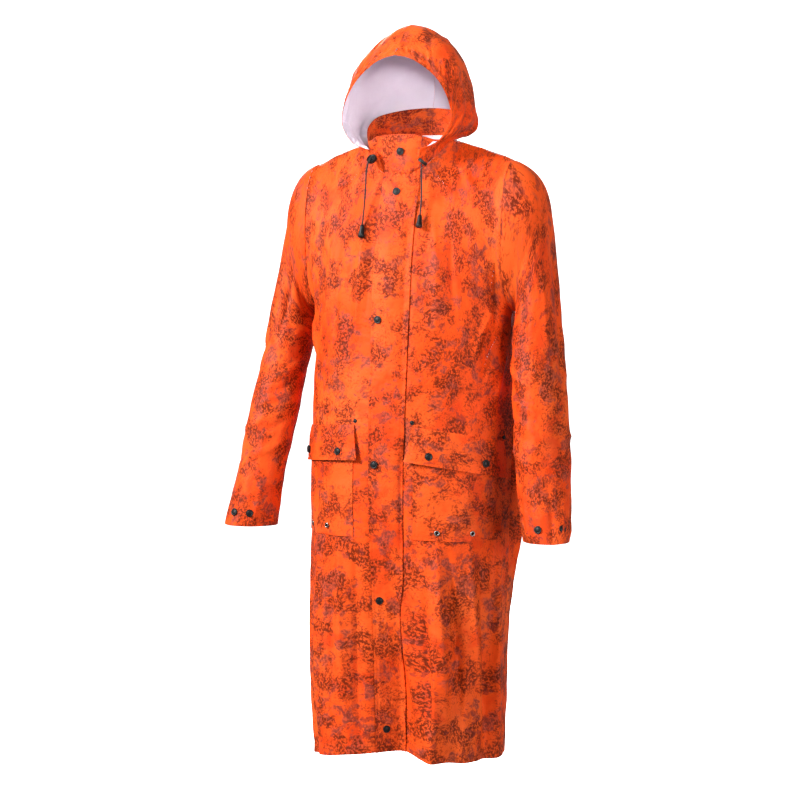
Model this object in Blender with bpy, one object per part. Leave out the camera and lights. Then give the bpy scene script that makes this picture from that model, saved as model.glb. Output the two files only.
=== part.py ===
"""A long hooded rain coat, standing open and empty as if worn.

Metres, +Z up, front faces -Y, so the wearer's left is +X. The origin is where
the coat is held: between the wearer's shoulders, at the base of the neck.
Every panel is a cloth wall between rings and edges worked out from the sizes below.
"""

import math

import bpy
import numpy as np

for old in list(bpy.data.objects):
    bpy.data.objects.remove(old)

# ---- driving sizes -------------------------------------------------------------
CLOTH = 0.0015          # coated cloth
DOUBLE = 0.0022         # two layers sewn together: collar, storm flap, pocket flaps
SEAM = 0.0003           # parting between two pieces at a seam
HEM_Z = -1.175          # level of the hem below the shoulders
CHEST_Z = -0.300        # level of the armpits, where the side seams end
ROUNDNESS = 2.3         # exponent of the body rings, 2 is an ellipse

NECK_WIDTH = 0.088      # half width of the neck opening
NECK_Y = 0.015          # middle of the neck opening
NECK_FRONT = (-0.0615, -0.035)    # y and z at the front of the neck opening
NECK_SIDE_Z = 0.035
NECK_BACK = (0.087, 0.050)        # y and z at the back
SHOULDER_TIP = (0.212, 0.025, -0.006)

COLLAR_WIDTH = 0.101    # half width of the collar's top edge
COLLAR_DEPTH = 0.076
COLLAR_TOP = 0.075      # height of the top edge at the sides
COLLAR_RISE = 0.030     # the back is this much higher and the front this much lower
COLLAR_DIP = 0.026      # the top edge sags this much before each side

FLAP_TOP_IN = 0.002     # the storm flap stops this far under the collar's edge
SNAP_RADIUS = 0.0075
RIVET_RADIUS = 0.0042
EYELET_RADIUS = 0.0055
EYELET_HOLE = 0.0028
TOGGLE_RADIUS = 0.0100
TOGGLE_THICK = 0.0060
CORD_RADIUS = 0.0015
CORD_END_LENGTH = 0.026

# Columns of points across a front, in degrees round from the centre front.
# The neck opening ends at NECK_TURN and the shoulder seam takes the rest.
NECK_TURN = 28.0
FRONT_TURNS = [0.0, 3.0, 5.9, 9.3, 15.0, 21.5, NECK_TURN, 38.0, 50.0, 62.0, 72.0, 82.0, 90.0]
BACK_TURNS = [0.0, 7.0, 14.0, 21.0, NECK_TURN, 38.0, 50.0, 62.0, 72.0, 82.0, 90.0]
FLAP_FREE, FLAP_SEWN = 2, 3       # columns of the storm flap's two edges
SKIRT_ROWS = 17                   # rows of cloth from the hem to the armpits
YOKE_ROWS = 9                     # rows from the armpits to the shoulders


def table(columns, rows):
    """A table as one array for each named column."""
    return dict(zip(columns.split(), np.array(rows, float).T))


BODY = table(
    "z       half_width front   back    middle", [
    (-1.230, 0.197,     0.133,  0.146, -0.012),
    (-1.000, 0.201,     0.143,  0.142, -0.001),
    (-0.800, 0.205,     0.152,  0.138,  0.012),
    (-0.620, 0.208,     0.156,  0.134,  0.020),
    (-0.460, 0.209,     0.150,  0.132,  0.021),
    (-0.300, 0.209,     0.137,  0.130,  0.022),
])

# The largest folds of the body, each by its place round the body in degrees from
# the centre front (+ is the wearer's left), at its top and at its foot.
FOLDS = table(
    "top     foot    turn    foot_turn  spread  depth", [
    (-0.640, -1.700,    4.0,    5.0,   13.0,  -0.060),
    (-0.740, -1.620,   27.0,   29.0,    7.5,   0.034),
    (-0.660, -1.560,   38.0,   47.0,    5.0,   0.013),
    (-0.560, -1.640,   66.0,   72.0,    7.0,  -0.012),
    (-0.700, -1.640,   84.0,   86.0,    6.0,   0.010),
    (-0.420, -0.820,  100.0,  104.0,    8.0,   0.020),
    (-0.700, -1.640,  118.0,  124.0,    9.0,  -0.016),
    (-0.620, -1.700,  152.0,  147.0,    8.0,   0.017),
    (-0.760, -1.560,  176.0,  178.0,   10.0,  -0.014),
    (-0.660, -1.640, -154.0, -150.0,    9.0,   0.015),
    (-0.740, -1.600, -126.0, -122.0,    8.0,  -0.016),
    (-0.600, -1.700,  -94.0,  -96.0,    9.0,   0.011),
    (-0.640, -1.600,  -62.0,  -60.0,    8.0,  -0.013),
    (-0.780, -1.640,  -36.0,  -33.0,    9.0,   0.016),
    (-0.350, -0.600,  -70.0,  -66.0,   10.0,   0.007),
])

# How far the hem hangs below its level, round the body.
HEM = table(
    "turn    drop", [
    (-180.0, 0.000),
    (-120.0, 0.010),
    (-80.0,  0.026),
    (-40.0,  0.010),
    (0.0,   -0.004),
    (60.0,   0.002),
    (120.0,  0.004),
    (180.0,  0.000),
])

# The left sleeve, from the armhole to the cuff, by the outer and the inner end of
# each ring. depth is its half size from front to back and turn its twist in degrees.
SLEEVE = table(
    "out_x  out_z    in_x    in_z     y       depth   turn", [
    (0.2120, -0.0060, 0.2090, -0.3000, 0.0240, 0.0720,   0.0),
    (0.2350, -0.0170, 0.2165, -0.3025, 0.0280, 0.0725,   0.0),
    (0.2560, -0.0360, 0.2205, -0.3060, 0.0330, 0.0720,   0.0),
    (0.2700, -0.0640, 0.2220, -0.3100, 0.0370, 0.0715,   0.0),
    (0.2770, -0.1050, 0.2225, -0.3150, 0.0385, 0.0700,   0.0),
    (0.2870, -0.1800, 0.2230, -0.3230, 0.0350, 0.0680,   0.0),
    (0.2990, -0.2600, 0.2235, -0.3360, 0.0250, 0.0660,   0.0),
    (0.3120, -0.3400, 0.2250, -0.3650, 0.0100, 0.0640,  -4.0),
    (0.3240, -0.4100, 0.2300, -0.4170, -0.0060, 0.0610, -10.0),
    (0.3360, -0.4800, 0.2360, -0.4800, -0.0240, 0.0580, -18.0),
    (0.3470, -0.5650, 0.2470, -0.5650, -0.0440, 0.0550, -28.0),
    (0.3560, -0.6500, 0.2600, -0.6510, -0.0620, 0.0510, -36.0),
    (0.3720, -0.7350, 0.2640, -0.7380, -0.0790, 0.0400, -44.0),
])
SLEEVE_ROWS = 19

# Half of the hood, from the face edge (place 0) round to the centre back (place 1).
# neck is the angle round the neck opening where a column starts. The column passes
# the points low, wide, high and top; on the way to low it is moved by part_x, _y, _z.
HOOD_ENDS = {1: 31.0, -1: 21.0}   # neck angles at which the two halves begin
HOOD = table(
    "place neck  part_x part_y  part_z low_x  low_y  low_z  wide_x wide_y  wide_z"
    " high_x high_y  high_z top_y   top_z", [
    (0.00,  21, -0.016, -0.006, 0.011, 0.087, -0.073, 0.025, 0.117, -0.070, 0.070,
     0.086, -0.070, 0.150, -0.076, 0.197),
    (0.30,  76,  0.000, 0.000, 0.000, 0.111, -0.016, 0.047, 0.122, -0.010, 0.108,
     0.097, -0.012, 0.196, -0.010, 0.258),
    (0.60, 118,  0.000, 0.000, 0.000, 0.113,  0.056, 0.054, 0.112,  0.060, 0.130,
     0.074,  0.062, 0.212, 0.054, 0.260),
    (0.84, 152,  0.000, 0.000, 0.000, 0.056,  0.096, 0.078, 0.066,  0.110, 0.132,
     0.044,  0.108, 0.190, 0.092, 0.236),
    (1.00, 180,  0.000, 0.000, 0.000, 0.000,  0.106, 0.082, 0.000,  0.123, 0.130,
     0.000,  0.122, 0.178, 0.108, 0.212),
])
HOOD_COLUMNS = 12
HOOD_ROWS = 12


# ---- small helpers -------------------------------------------------------------
def smooth(x, xs, ys):
    """The value at x of a smooth curve through the points (xs, ys)."""
    if xs[0] > xs[-1]:
        xs, ys = xs[::-1], ys[::-1]
    slopes = np.gradient(ys, xs)
    x = min(max(x, xs[0]), xs[-1])
    i = min(max(int(np.searchsorted(xs, x)) - 1, 0), len(xs) - 2)
    h = xs[i + 1] - xs[i]
    t = (x - xs[i]) / h
    return (
        (2 * t**3 - 3 * t**2 + 1) * ys[i]
        + (t**3 - 2 * t**2 + t) * h * slopes[i]
        + (3 * t**2 - 2 * t**3) * ys[i + 1]
        + (t**3 - t**2) * h * slopes[i + 1]
    )


def smooth_row(tab, key, at):
    """Every other column of a table, read at one value of its key column."""
    return {name: smooth(at, tab[key], tab[name]) for name in tab if name != key}


def power(value, exponent):
    return math.copysign(abs(value) ** exponent, value)


def unit(vectors):
    return vectors / np.linalg.norm(vectors, axis=-1, keepdims=True)


# ---- the body's form -----------------------------------------------------------
def fold_height(turn, z):
    """How far the folds move the cloth out (or in) at one place."""
    total = 0.0
    for top, foot, at, foot_at, spread, depth in zip(*FOLDS.values()):
        if foot < z < top:
            down = (top - z) / (top - foot)
            here = at + (foot_at - at) * min(2 * down, 1.0)
            away = (turn - here + 180.0) % 360.0 - 180.0
            total += depth * math.sin(math.pi * down) ** 1.4 * math.exp(-((away / spread) ** 2))
    return total


def body_point(turn, z):
    """A point of the body's outside below the armpits."""
    ring = smooth_row(BODY, "z", z)
    s, c = math.sin(math.radians(turn)), math.cos(math.radians(turn))
    depth = ring["front"] if c > 0 else ring["back"]
    x = ring["half_width"] * power(s, 2 / ROUNDNESS)
    y = -depth * power(c, 2 / ROUNDNESS)
    out = np.array([x / ring["half_width"] ** 2, y / depth**2, 0.0])
    return np.array([x, ring["middle"] + y, z]) + unit(out) * fold_height(turn, z)


def neck_point(angle):
    """A point of the neck opening; 0 is the centre front and 180 the centre back."""
    s, c = math.sin(math.radians(angle)), math.cos(math.radians(angle))
    end_y, end_z = NECK_FRONT if c > 0 else NECK_BACK
    y = NECK_Y + (end_y - NECK_Y) * abs(c)
    z = end_z + (NECK_SIDE_Z - end_z) * s**2.6
    return np.array([NECK_WIDTH * s, y, z])


def top_point(turn, angle_scale, angle_start):
    """A point of a panel's top edge: the neck opening, then the shoulder seam."""
    if turn <= NECK_TURN:
        return neck_point(angle_start + angle_scale * 90.0 * turn / NECK_TURN)
    along = (turn - NECK_TURN) / (90.0 - NECK_TURN)
    neck = neck_point(90.0)
    tip = np.array(SHOULDER_TIP)
    lift = np.array([0.0, 0.0, 0.003 * math.sin(math.pi * along)])
    return neck + (tip - neck) * along + lift


def sleeve_ring(along, count):
    """One ring of the left sleeve, from the armpit up the front and down the back."""
    rows = len(SLEEVE["y"])
    row = {name: smooth(along * (rows - 1), np.arange(rows), SLEEVE[name]) for name in SLEEVE}
    outer = np.array([row["out_x"], row["y"], row["out_z"]])
    inner = np.array([row["in_x"], row["y"], row["in_z"]])
    centre = (outer + inner) / 2
    reach = np.linalg.norm(outer - inner) / 2
    outward = (outer - inner) / (2 * reach)
    forward = np.array([0.0, -1.0, 0.0])
    s, c = math.sin(math.radians(row["turn"])), math.cos(math.radians(row["turn"]))
    points = []
    for k in range(count):
        a = 2 * math.pi * k / count
        across = -reach * power(math.cos(a), 0.94)
        ahead = row["depth"] * power(math.sin(a), 0.94)
        points.append(centre + outward * (across * c + ahead * s) + forward * (ahead * c - across * s))
    return np.array(points)


def panel_grid(side, turns, back):
    """The outside of one half of the body, by rows from the hem up.

    Columns run from the centre line to the side seam. Above the armpits the
    rows are a patch between the centre line, the armhole and the top edge.
    """
    base = 180.0 if back else 0.0
    sign = -1.0 if back else 1.0
    rows = []
    for r in range(SKIRT_ROWS + 1):
        row = []
        for turn in turns:
            place = side * (base + sign * turn)
            hem = HEM_Z - smooth((place + 180.0) % 360.0 - 180.0, HEM["turn"], HEM["drop"])
            z = hem + (CHEST_Z - hem) * r / SKIRT_ROWS
            row.append(body_point(place, z))
        rows.append(row)
    lower = np.array(rows)
    flip = np.array([side, 1.0, 1.0])

    ring = sleeve_ring(0.0, 2 * YOKE_ROWS)
    if back:
        edge = np.concatenate([ring[:1], ring[:YOKE_ROWS - 1:-1]])
    else:
        edge = ring[: YOKE_ROWS + 1]
    edge = edge * flip
    lower[-1, -1] = edge[0]
    bottom = lower[-1]
    start, scale = (180.0, -1.0) if back else (0.0, 1.0)
    top = np.array([top_point(t, scale, start) for t in turns]) * flip
    top[-1] = edge[-1]
    centre_top, centre_low = top[0], bottom[0]
    bulge = -0.010 if not back else 0.016
    patch = []
    for r in range(1, YOKE_ROWS + 1):
        v = r / YOKE_ROWS
        ease = math.sin(math.pi * v)
        left = centre_low + (centre_top - centre_low) * v + np.array([0.0, bulge * ease, 0.0])
        line = []
        for c, turn in enumerate(turns):
            u = turn / 90.0
            flat = (
                (1 - u) * (1 - v) * centre_low + u * (1 - v) * bottom[-1]
                + (1 - u) * v * centre_top + u * v * top[-1]
            )
            line.append((1 - v) * bottom[c] + v * top[c] + (1 - u) * left + u * edge[r] - flat)
        patch.append(line)
    grid = np.concatenate([lower, np.array(patch)])
    return eased(grid)


def eased(grid, rounds=10):
    """The cloth drawn smooth, more and more from below the armpits up, edges held."""
    rows = np.arange(1, len(grid) - 1)
    share = np.clip((rows - SKIRT_ROWS + 6) / 6, 0.0, 1.0)[:, None, None] / 2
    for _ in range(rounds):
        mean = (grid[:-2, 1:-1] + grid[2:, 1:-1] + grid[1:-1, :-2] + grid[1:-1, 2:]) / 4
        grid[1:-1, 1:-1] += share * (mean - grid[1:-1, 1:-1])
    return grid


# ---- walls ---------------------------------------------------------------------
def normals_of(grid, wrap=False):
    """Unit normals of a grid of points, one for each point."""
    if wrap:
        across = np.roll(grid, -1, axis=1) - np.roll(grid, 1, axis=1)
    else:
        across = np.gradient(grid, axis=1)
    return unit(np.cross(across, np.gradient(grid, axis=0)))


def pull(grid, rows, columns, towards_rows, towards_columns, distance):
    """Moves one edge of a grid towards its neighbours, to part a seam."""
    edge = grid[rows, columns]
    grid[rows, columns] = edge + unit(grid[towards_rows, towards_columns] - edge) * distance


ORANGE = (0.95, 0.14, 0.03)
BLACK = (0.012, 0.011, 0.012)
SILVER = (0.62, 0.62, 0.64)


def finish(name, vertices, faces, colour, rough, metal=0.0, round_edges=40.0):
    """Makes the object, with its faces pointing out and its own material."""
    points = np.array(vertices) - np.mean(vertices, axis=0)
    volume = 0.0
    for face in faces:
        for i in range(1, len(face) - 1):
            a, b, c = points[[face[0], face[i], face[i + 1]]]
            volume += np.dot(a, np.cross(b, c))
    if volume < 0:
        faces = [face[::-1] for face in faces]
    mesh = bpy.data.meshes.new(name)
    mesh.from_pydata([tuple(v) for v in vertices], [], faces)
    mesh.update()
    mesh.shade_smooth()
    mesh.set_sharp_from_angle(angle=math.radians(round_edges))
    obj = bpy.data.objects.new(name, mesh)
    bpy.context.scene.collection.objects.link(obj)
    mesh.materials.append(material(name, colour, rough, metal))
    return obj


def material(name, colour, rough, metal):
    made = bpy.data.materials.new(name)
    made.use_nodes = True
    shader = made.node_tree.nodes["Principled BSDF"]
    shader.inputs["Base Color"].default_value = (*colour, 1.0)
    shader.inputs["Roughness"].default_value = rough
    shader.inputs["Metallic"].default_value = metal
    return made


def wall(name, outer, inner, wrap=False, mirrored_columns=0):
    """A closed cloth wall between two grids of points.

    Both sides are cut along the same diagonals, which lean the other way in the
    first mirrored columns, so that a twisted stretch keeps its thickness. Its
    edges are cut along their shorter diagonals, so that two edges match at a seam.
    """
    rows, columns = outer.shape[:2]
    vertices = np.concatenate([outer.reshape(-1, 3), inner.reshape(-1, 3)])
    layer = rows * columns
    steps = columns if wrap else columns - 1
    faces = []
    for r in range(rows - 1):
        for c in range(steps):
            d = (c + 1) % columns
            a, b, e, f = r * columns + c, r * columns + d, (r + 1) * columns + d, (r + 1) * columns + c
            halves = [(a, b, f), (b, e, f)] if c < mirrored_columns else [(a, b, e), (a, e, f)]
            faces += halves
            faces += [tuple(i + layer for i in half[::-1]) for half in halves]
    ends = []
    for c in range(steps):
        d, last = (c + 1) % columns, (rows - 1) * columns
        ends.append((d, c, c + layer, d + layer))
        ends.append((last + c, last + d, last + d + layer, last + c + layer))
    if not wrap:
        for r in range(rows - 1):
            left, right, up = r * columns, r * columns + columns - 1, columns
            ends.append((left, left + up, left + up + layer, left + layer))
            ends.append((right + up, right, right + layer, right + up + layer))
    for a, b, e, f in ends:
        short = np.linalg.norm(vertices[a] - vertices[e]) < np.linalg.norm(vertices[b] - vertices[f])
        faces += [(a, b, e), (a, e, f)] if short else [(a, b, f), (b, e, f)]
    return finish(name, vertices, faces, ORANGE, 0.55)


# ---- the body: two fronts and a back, with the sleeves -------------------------
def body_and_sleeves():
    """Builds the torso and sleeves, whose walls share their normals at each seam."""
    fronts = {s: panel_grid(s, FRONT_TURNS, False) for s in (1, -1)}
    halves = {s: panel_grid(s, BACK_TURNS, True) for s in (1, -1)}
    back = np.concatenate([halves[1][:, :0:-1], halves[-1]], axis=1)
    f_out = {s: normals_of(fronts[s]) * s for s in fronts}
    b_out = normals_of(back)
    neck_f, neck_b = FRONT_TURNS.index(NECK_TURN), BACK_TURNS.index(NECK_TURN)
    middle = len(BACK_TURNS) - 1
    sleeves = {}
    for s in (1, -1):
        rings = [sleeve_ring(r / SLEEVE_ROWS, 2 * YOKE_ROWS) for r in range(SLEEVE_ROWS + 1)]
        sleeve = np.array(rings) * np.array([s, 1.0, 1.0])
        s_out = normals_of(sleeve, wrap=True) * -s
        # front to back at the side and along the shoulder
        column = 0 if s == 1 else -1
        b_at = [middle - s * c for c in range(neck_b, middle + 1)]
        side = unit(f_out[s][: SKIRT_ROWS + 1, -1] + b_out[: SKIRT_ROWS + 1, column])
        f_out[s][: SKIRT_ROWS + 1, -1] = side
        b_out[: SKIRT_ROWS + 1, column] = side
        ridge = unit(f_out[s][-1, neck_f:] + b_out[-1, b_at])
        f_out[s][-1, neck_f:] = ridge
        b_out[-1, b_at] = ridge
        # round the armhole
        for k in range(2 * YOKE_ROWS):
            met = [s_out[0, k]]
            if k <= YOKE_ROWS:
                met.append(f_out[s][SKIRT_ROWS + k, -1])
            if k == 0 or k >= YOKE_ROWS:
                met.append(b_out[SKIRT_ROWS + (2 * YOKE_ROWS - k) % (2 * YOKE_ROWS), column])
            shared = unit(np.sum(met, axis=0))
            s_out[0, k] = shared
            if k <= YOKE_ROWS:
                f_out[s][SKIRT_ROWS + k, -1] = shared
            if k == 0 or k >= YOKE_ROWS:
                b_out[SKIRT_ROWS + (2 * YOKE_ROWS - k) % (2 * YOKE_ROWS), column] = shared
        f_out[s][:, 0, 0] = 0.0
        f_out[s] = unit(f_out[s])
        sleeves[s] = (sleeve, s_out)
    whole = slice(None)
    for s in (1, -1):
        front = fronts[s]
        pull(front, whole, 0, whole, 1, SEAM / 2)
        pull(front, whole, -1, whole, -2, SEAM / 2)
        pull(front, -1, slice(neck_f, None), -2, slice(neck_f, None), SEAM / 2)
        name = "front_left" if s == 1 else "front_right"
        wall(name, front, front - f_out[s] * CLOTH)
        sleeve, s_out = sleeves[s]
        pull(sleeve, 0, whole, 1, whole, SEAM * 2.0)
        wall("sleeve_left" if s == 1 else "sleeve_right", sleeve, sleeve - s_out * CLOTH, wrap=True)
    pull(back, whole, 0, whole, 1, SEAM / 2)
    pull(back, whole, -1, whole, -2, SEAM / 2)
    for s in (1, -1):
        at = [middle - s * c for c in range(neck_b, middle + 1)]
        pull(back, -1, at, -2, at, SEAM / 2)
    wall("back", back, back - b_out * CLOTH, mirrored_columns=middle)
    return {"left": (fronts[1], f_out[1]), "right": (fronts[-1], f_out[-1])}


# ---- the collar ----------------------------------------------------------------
COLLAR_ROWS = 5


def collar_column(angle, side):
    """A column of the collar, from the neck opening up."""
    low = neck_point(angle) + np.array([0.0, 0.0, SEAM])
    s, c = math.sin(math.radians(angle)), math.cos(math.radians(angle))
    high = np.array([
        COLLAR_WIDTH * s,
        NECK_Y - 0.004 - COLLAR_DEPTH * c,
        COLLAR_TOP - COLLAR_RISE * c,
    ])
    sag = COLLAR_DIP * math.exp(-(((angle - 62.0) / 30.0) ** 2))
    high = low + (high - low) * (1.0 - sag / (high[2] - low[2]))
    column = [low + (high - low) * v for v in np.linspace(0.0, 1.0, COLLAR_ROWS + 1)]
    return np.array(column) * np.array([side, 1.0, 1.0])


def collar_angles():
    """Angles round the neck opening, at the columns of the front and back panels."""
    front = [90.0 * t / NECK_TURN for t in FRONT_TURNS if t <= NECK_TURN]
    back = [180.0 - 90.0 * t / NECK_TURN for t in BACK_TURNS if t <= NECK_TURN]
    return front + back[-2::-1]


def collar():
    """The stand collar, one strip round the neck whose ends meet at the front."""
    angles = collar_angles()
    left = [collar_column(a, 1) for a in angles]
    right = [collar_column(a, -1) for a in angles]
    grid = np.array(left + right[-2::-1]).transpose(1, 0, 2)
    out = normals_of(grid)
    out[:, [0, -1], 0] = 0.0
    out[:, :, 2] *= 0.3
    out = unit(out)
    pull(grid, slice(None), 0, slice(None), 1, SEAM / 2)
    pull(grid, slice(None), -1, slice(None), -2, SEAM / 2)
    wall("collar", grid, grid - out * DOUBLE)


# ---- the hood ------------------------------------------------------------------
def hood_column(place, side):
    """A column of half the hood, from the neck opening to the centre seam."""
    row = smooth_row(HOOD, "place", place)
    first = HOOD_ENDS[side]
    angle = first + (row["neck"] - HOOD["neck"][0]) * (180.0 - first) / (180.0 - HOOD["neck"][0])
    s, c = math.sin(math.radians(angle)), math.cos(math.radians(angle))
    lift = np.array([s, -c, 0.0]) * (CLOTH + 2.7 * SEAM) + np.array([0.0, 0.0, (1 + 2.7 * s * s) * SEAM])
    neck = neck_point(angle) + lift
    low = np.array([row["low_x"], row["low_y"], row["low_z"]])
    part = np.array([row["part_x"], row["part_y"], row["part_z"]])
    points = np.array([
        neck,
        (neck + low) / 2 + part,
        low,
        [row["wide_x"], row["wide_y"], row["wide_z"]],
        [row["high_x"], row["high_y"], row["high_z"]],
        [0.0, row["top_y"], row["top_z"]],
    ])
    beyond = points[-2] * np.array([-1.0, 1.0, 1.0])
    before = points[0] * 2 - points[1]
    run = np.concatenate([[before], points, [beyond]])
    gaps = np.linalg.norm(np.diff(run, axis=0), axis=1) ** 0.6
    at = np.concatenate([[0.0], np.cumsum(gaps)])
    steps = np.linspace(at[1], at[-2], HOOD_ROWS + 1)
    column = np.array([[smooth(t, at, run[:, k]) for k in range(3)] for t in steps])
    column[-1, 0] = 0.0
    return column * np.array([side, 1.0, 1.0])


def hood():
    """Two halves that meet in a seam over the head and down the back."""
    for side in (1, -1):
        places = np.linspace(0.0, 1.0, HOOD_COLUMNS + 1)
        grid = np.array([hood_column(p, side) for p in places]).transpose(1, 0, 2)
        grid[:, -1, 0] = 0.0
        out = normals_of(grid) * side
        out[-1, -1] = out[-1, -2] + out[-2, -1]
        out[-1, :, 0] = 0.0
        out[:, -1, 0] = 0.0
        out = unit(out)
        grid[-1, :, 0] = side * SEAM / 2
        grid[:, -1, 0] = side * SEAM / 2
        name = "hood_left" if side == 1 else "hood_right"
        wall(name, grid, grid - out * CLOTH)


# ---- the storm flap ------------------------------------------------------------
def storm_flap(body):
    """The flap over the closure, made from the points of the fronts and collar."""
    angles = collar_angles()
    columns = []
    for c in range(-FLAP_FREE, FLAP_SEWN + 1):
        side = 1 if c >= 0 else -1
        points, normals = body["left" if c >= 0 else "right"]
        below, out = points[:, abs(c)], normals[:, abs(c)]
        up = collar_column(angles[abs(c)], side)[1:]
        up[-1, 2] -= FLAP_TOP_IN
        lean = np.repeat(out[-1:] * np.array([1.0, 1.0, 0.0]), len(up), axis=0)
        columns.append((np.concatenate([below, up]), np.concatenate([out, unit(lean)])))
    grid = np.array([c[0] for c in columns]).transpose(1, 0, 2)
    out = np.array([c[1] for c in columns]).transpose(1, 0, 2)
    inner = grid + out * 2 * SEAM
    outer = inner + out * DOUBLE
    wall("storm_flap", outer, inner, mirrored_columns=FLAP_FREE)
    return outer


# ---- pockets -------------------------------------------------------------------
POCKET_GAP = 0.0005               # between the body and what is sewn on it
POCKET_TURNS = (15.0, 79.0)       # its front and side edges, round the body
POCKET_FOOT = (-0.742, -0.746)    # level of its foot at those edges
POCKET_MOUTH = (-0.552, -0.572)
POCKET_PUFF = 0.0022              # how far its middle stands out
LID_TURNS = (14.0, 80.0)
LID_TOP = (-0.522, -0.546)
LID_FOOT = (-0.590, -0.618)
LID_LIFT = 0.0050                 # how far the foot of the pocket flap stands off
LID_TILT = (-0.008, 0.012)        # rise of its side end, on the wearer's left and right
LID_SLANT = -2.5                  # turn of its front edge's foot


def bag_away(u, v):
    """How far the bag's outside is off the body; u runs across and v up."""
    across = math.sin(math.pi * min(max(u, 0.0), 1.0)) ** 0.5
    return POCKET_GAP + CLOTH + POCKET_PUFF * across * math.sin(math.pi * (0.08 + 0.62 * v))


def lid_away(u, v):
    """How far the flap's outside is off the body: sewn flat above, lifted below."""
    over_bag = 0.0043 * min(1.0, (1.0 - v) / 0.3)
    hang = (1 - v) ** 1.5 * (0.55 + 0.45 * (2 * u - 1) ** 2)
    return POCKET_GAP + DOUBLE + over_bag + LID_LIFT * hang


POCKETS = {
    "pocket": (POCKET_TURNS, POCKET_MOUTH, POCKET_FOOT, bag_away, CLOTH, 8),
    "pocket_flap": (LID_TURNS, LID_TOP, LID_FOOT, lid_away, DOUBLE, 5),
}


def on_front(front, turn, z):
    """The point and normal of a front at a turn and a level."""
    points, out = front
    c = min(max(int(np.searchsorted(FRONT_TURNS, turn)) - 1, 0), len(FRONT_TURNS) - 2)
    u = (turn - FRONT_TURNS[c]) / (FRONT_TURNS[c + 1] - FRONT_TURNS[c])
    level = points[:, c, 2] * (1 - u) + points[:, c + 1, 2] * u
    r = int(np.searchsorted(level, z)) - 1
    v = (z - level[r]) / (level[r + 1] - level[r])

    def mixed(grid):
        low = grid[r, c] * (1 - u) + grid[r, c + 1] * u
        high = grid[r + 1, c] * (1 - u) + grid[r + 1, c + 1] * u
        return low * (1 - v) + high * v

    return mixed(points), unit(mixed(out))


def pocket_point(kind, front, u, v):
    """A point of the outside of a pocket or its flap; u runs across and v up."""
    turns, top, foot, away = POCKETS[kind][:4]
    tilt, slant = 0.0, 0.0
    if kind == "pocket_flap":
        tilt, slant = LID_TILT[int(front[0][0, -1, 0] < 0.0)], LID_SLANT
    low, high = foot[0] + (foot[1] - foot[0]) * u, top[0] + (top[1] - top[0]) * u
    turn = turns[0] + (turns[1] - turns[0]) * u + slant * (1.0 - u) * (1.0 - v)
    place, out = on_front(front, turn, low + (high - low) * v + tilt * u)
    return place + out * away(u, v)


def pockets(body):
    """Two patch pockets, each a flat bag under a flap of its own."""
    for hand, front in body.items():
        side = 1 if hand == "left" else -1
        for kind, (turns, _, _, _, thick, rows) in POCKETS.items():
            between = [t for t in FRONT_TURNS if turns[0] < t < turns[1]]
            us = [(t - turns[0]) / (turns[1] - turns[0]) for t in (turns[0], *between, turns[1])]
            vs = np.linspace(0.0, 1.0, rows + 1)
            outer = np.array([[pocket_point(kind, front, u, v) for u in us] for v in vs])
            wall(f"{kind}_{hand}", outer, outer - normals_of(outer) * side * thick)


# ---- snaps, rivets and eyelets -------------------------------------------------
def turned(name, place, out, profile, sides, colour, rough, metal=0.0, hole=False):
    """A round piece from its profile of (radius, height) steps, standing on a place.

    With a hole the profile is a closed loop, and without one it runs from the
    edge of the base to the edge of the top, and both ends are closed.
    """
    out = unit(np.array(out, float))
    across = unit(np.cross(out, [0.0, 0.0, 1.0] if abs(out[2]) < 0.9 else [1.0, 0.0, 0.0]))
    along = np.cross(out, across)
    vertices = []
    for radius, height in profile:
        for k in range(sides):
            a = 2 * math.pi * k / sides
            vertices.append(place + out * height + (across * math.cos(a) + along * math.sin(a)) * radius)
    rings = len(profile)
    faces = []
    for r in range(rings if hole else rings - 1):
        for k in range(sides):
            a, b = r * sides + k, r * sides + (k + 1) % sides
            n = (r + 1) % rings
            faces.append((a, b, n * sides + (k + 1) % sides, n * sides + k))
    if not hole:
        faces.append(tuple(range(sides))[::-1])
        faces.append(tuple(range((rings - 1) * sides, rings * sides)))
    finish(name, vertices, faces, colour, rough, metal)


def snap(name, place, out, off=SEAM):
    """The domed cap of a press stud, just off the cloth."""
    r = SNAP_RADIUS
    profile = [(r * 0.94, off), (r, off + 0.0006), (r * 0.86, off + 0.0018), (r * 0.45, off + 0.0024)]
    turned(name, place, out, profile, 12, BLACK, 0.35)


def rivet(name, place, out):
    """The small domed head of a rivet at a pocket's corner."""
    r = RIVET_RADIUS
    turned(name, place, out, [(r, 2 * SEAM), (r * 0.9, 0.0015), (r * 0.4, 0.0021)], 10, BLACK, 0.35)


def eyelet(name, place, out):
    """The metal ring of a drain hole."""
    outer, hole = EYELET_RADIUS, EYELET_HOLE
    profile = [(hole, 2 * SEAM), (outer, 2 * SEAM), (outer * 0.86, 0.0017), (hole * 1.25, 0.0017)]
    turned(name, place, out, profile, 14, SILVER, 0.3, 1.0, hole=True)


# The storm flap's snaps: their level, and how far in from its free edge they sit
# as a share of its width.
FLAP_SNAPS = table(
    "z       across", [
    (0.0127, 0.50),
    (-0.056, 0.45),
    (-0.319, 0.19),
    (-0.598, 0.21),
    (-0.867, 0.22),
    (-1.126, 0.29),
])


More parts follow.
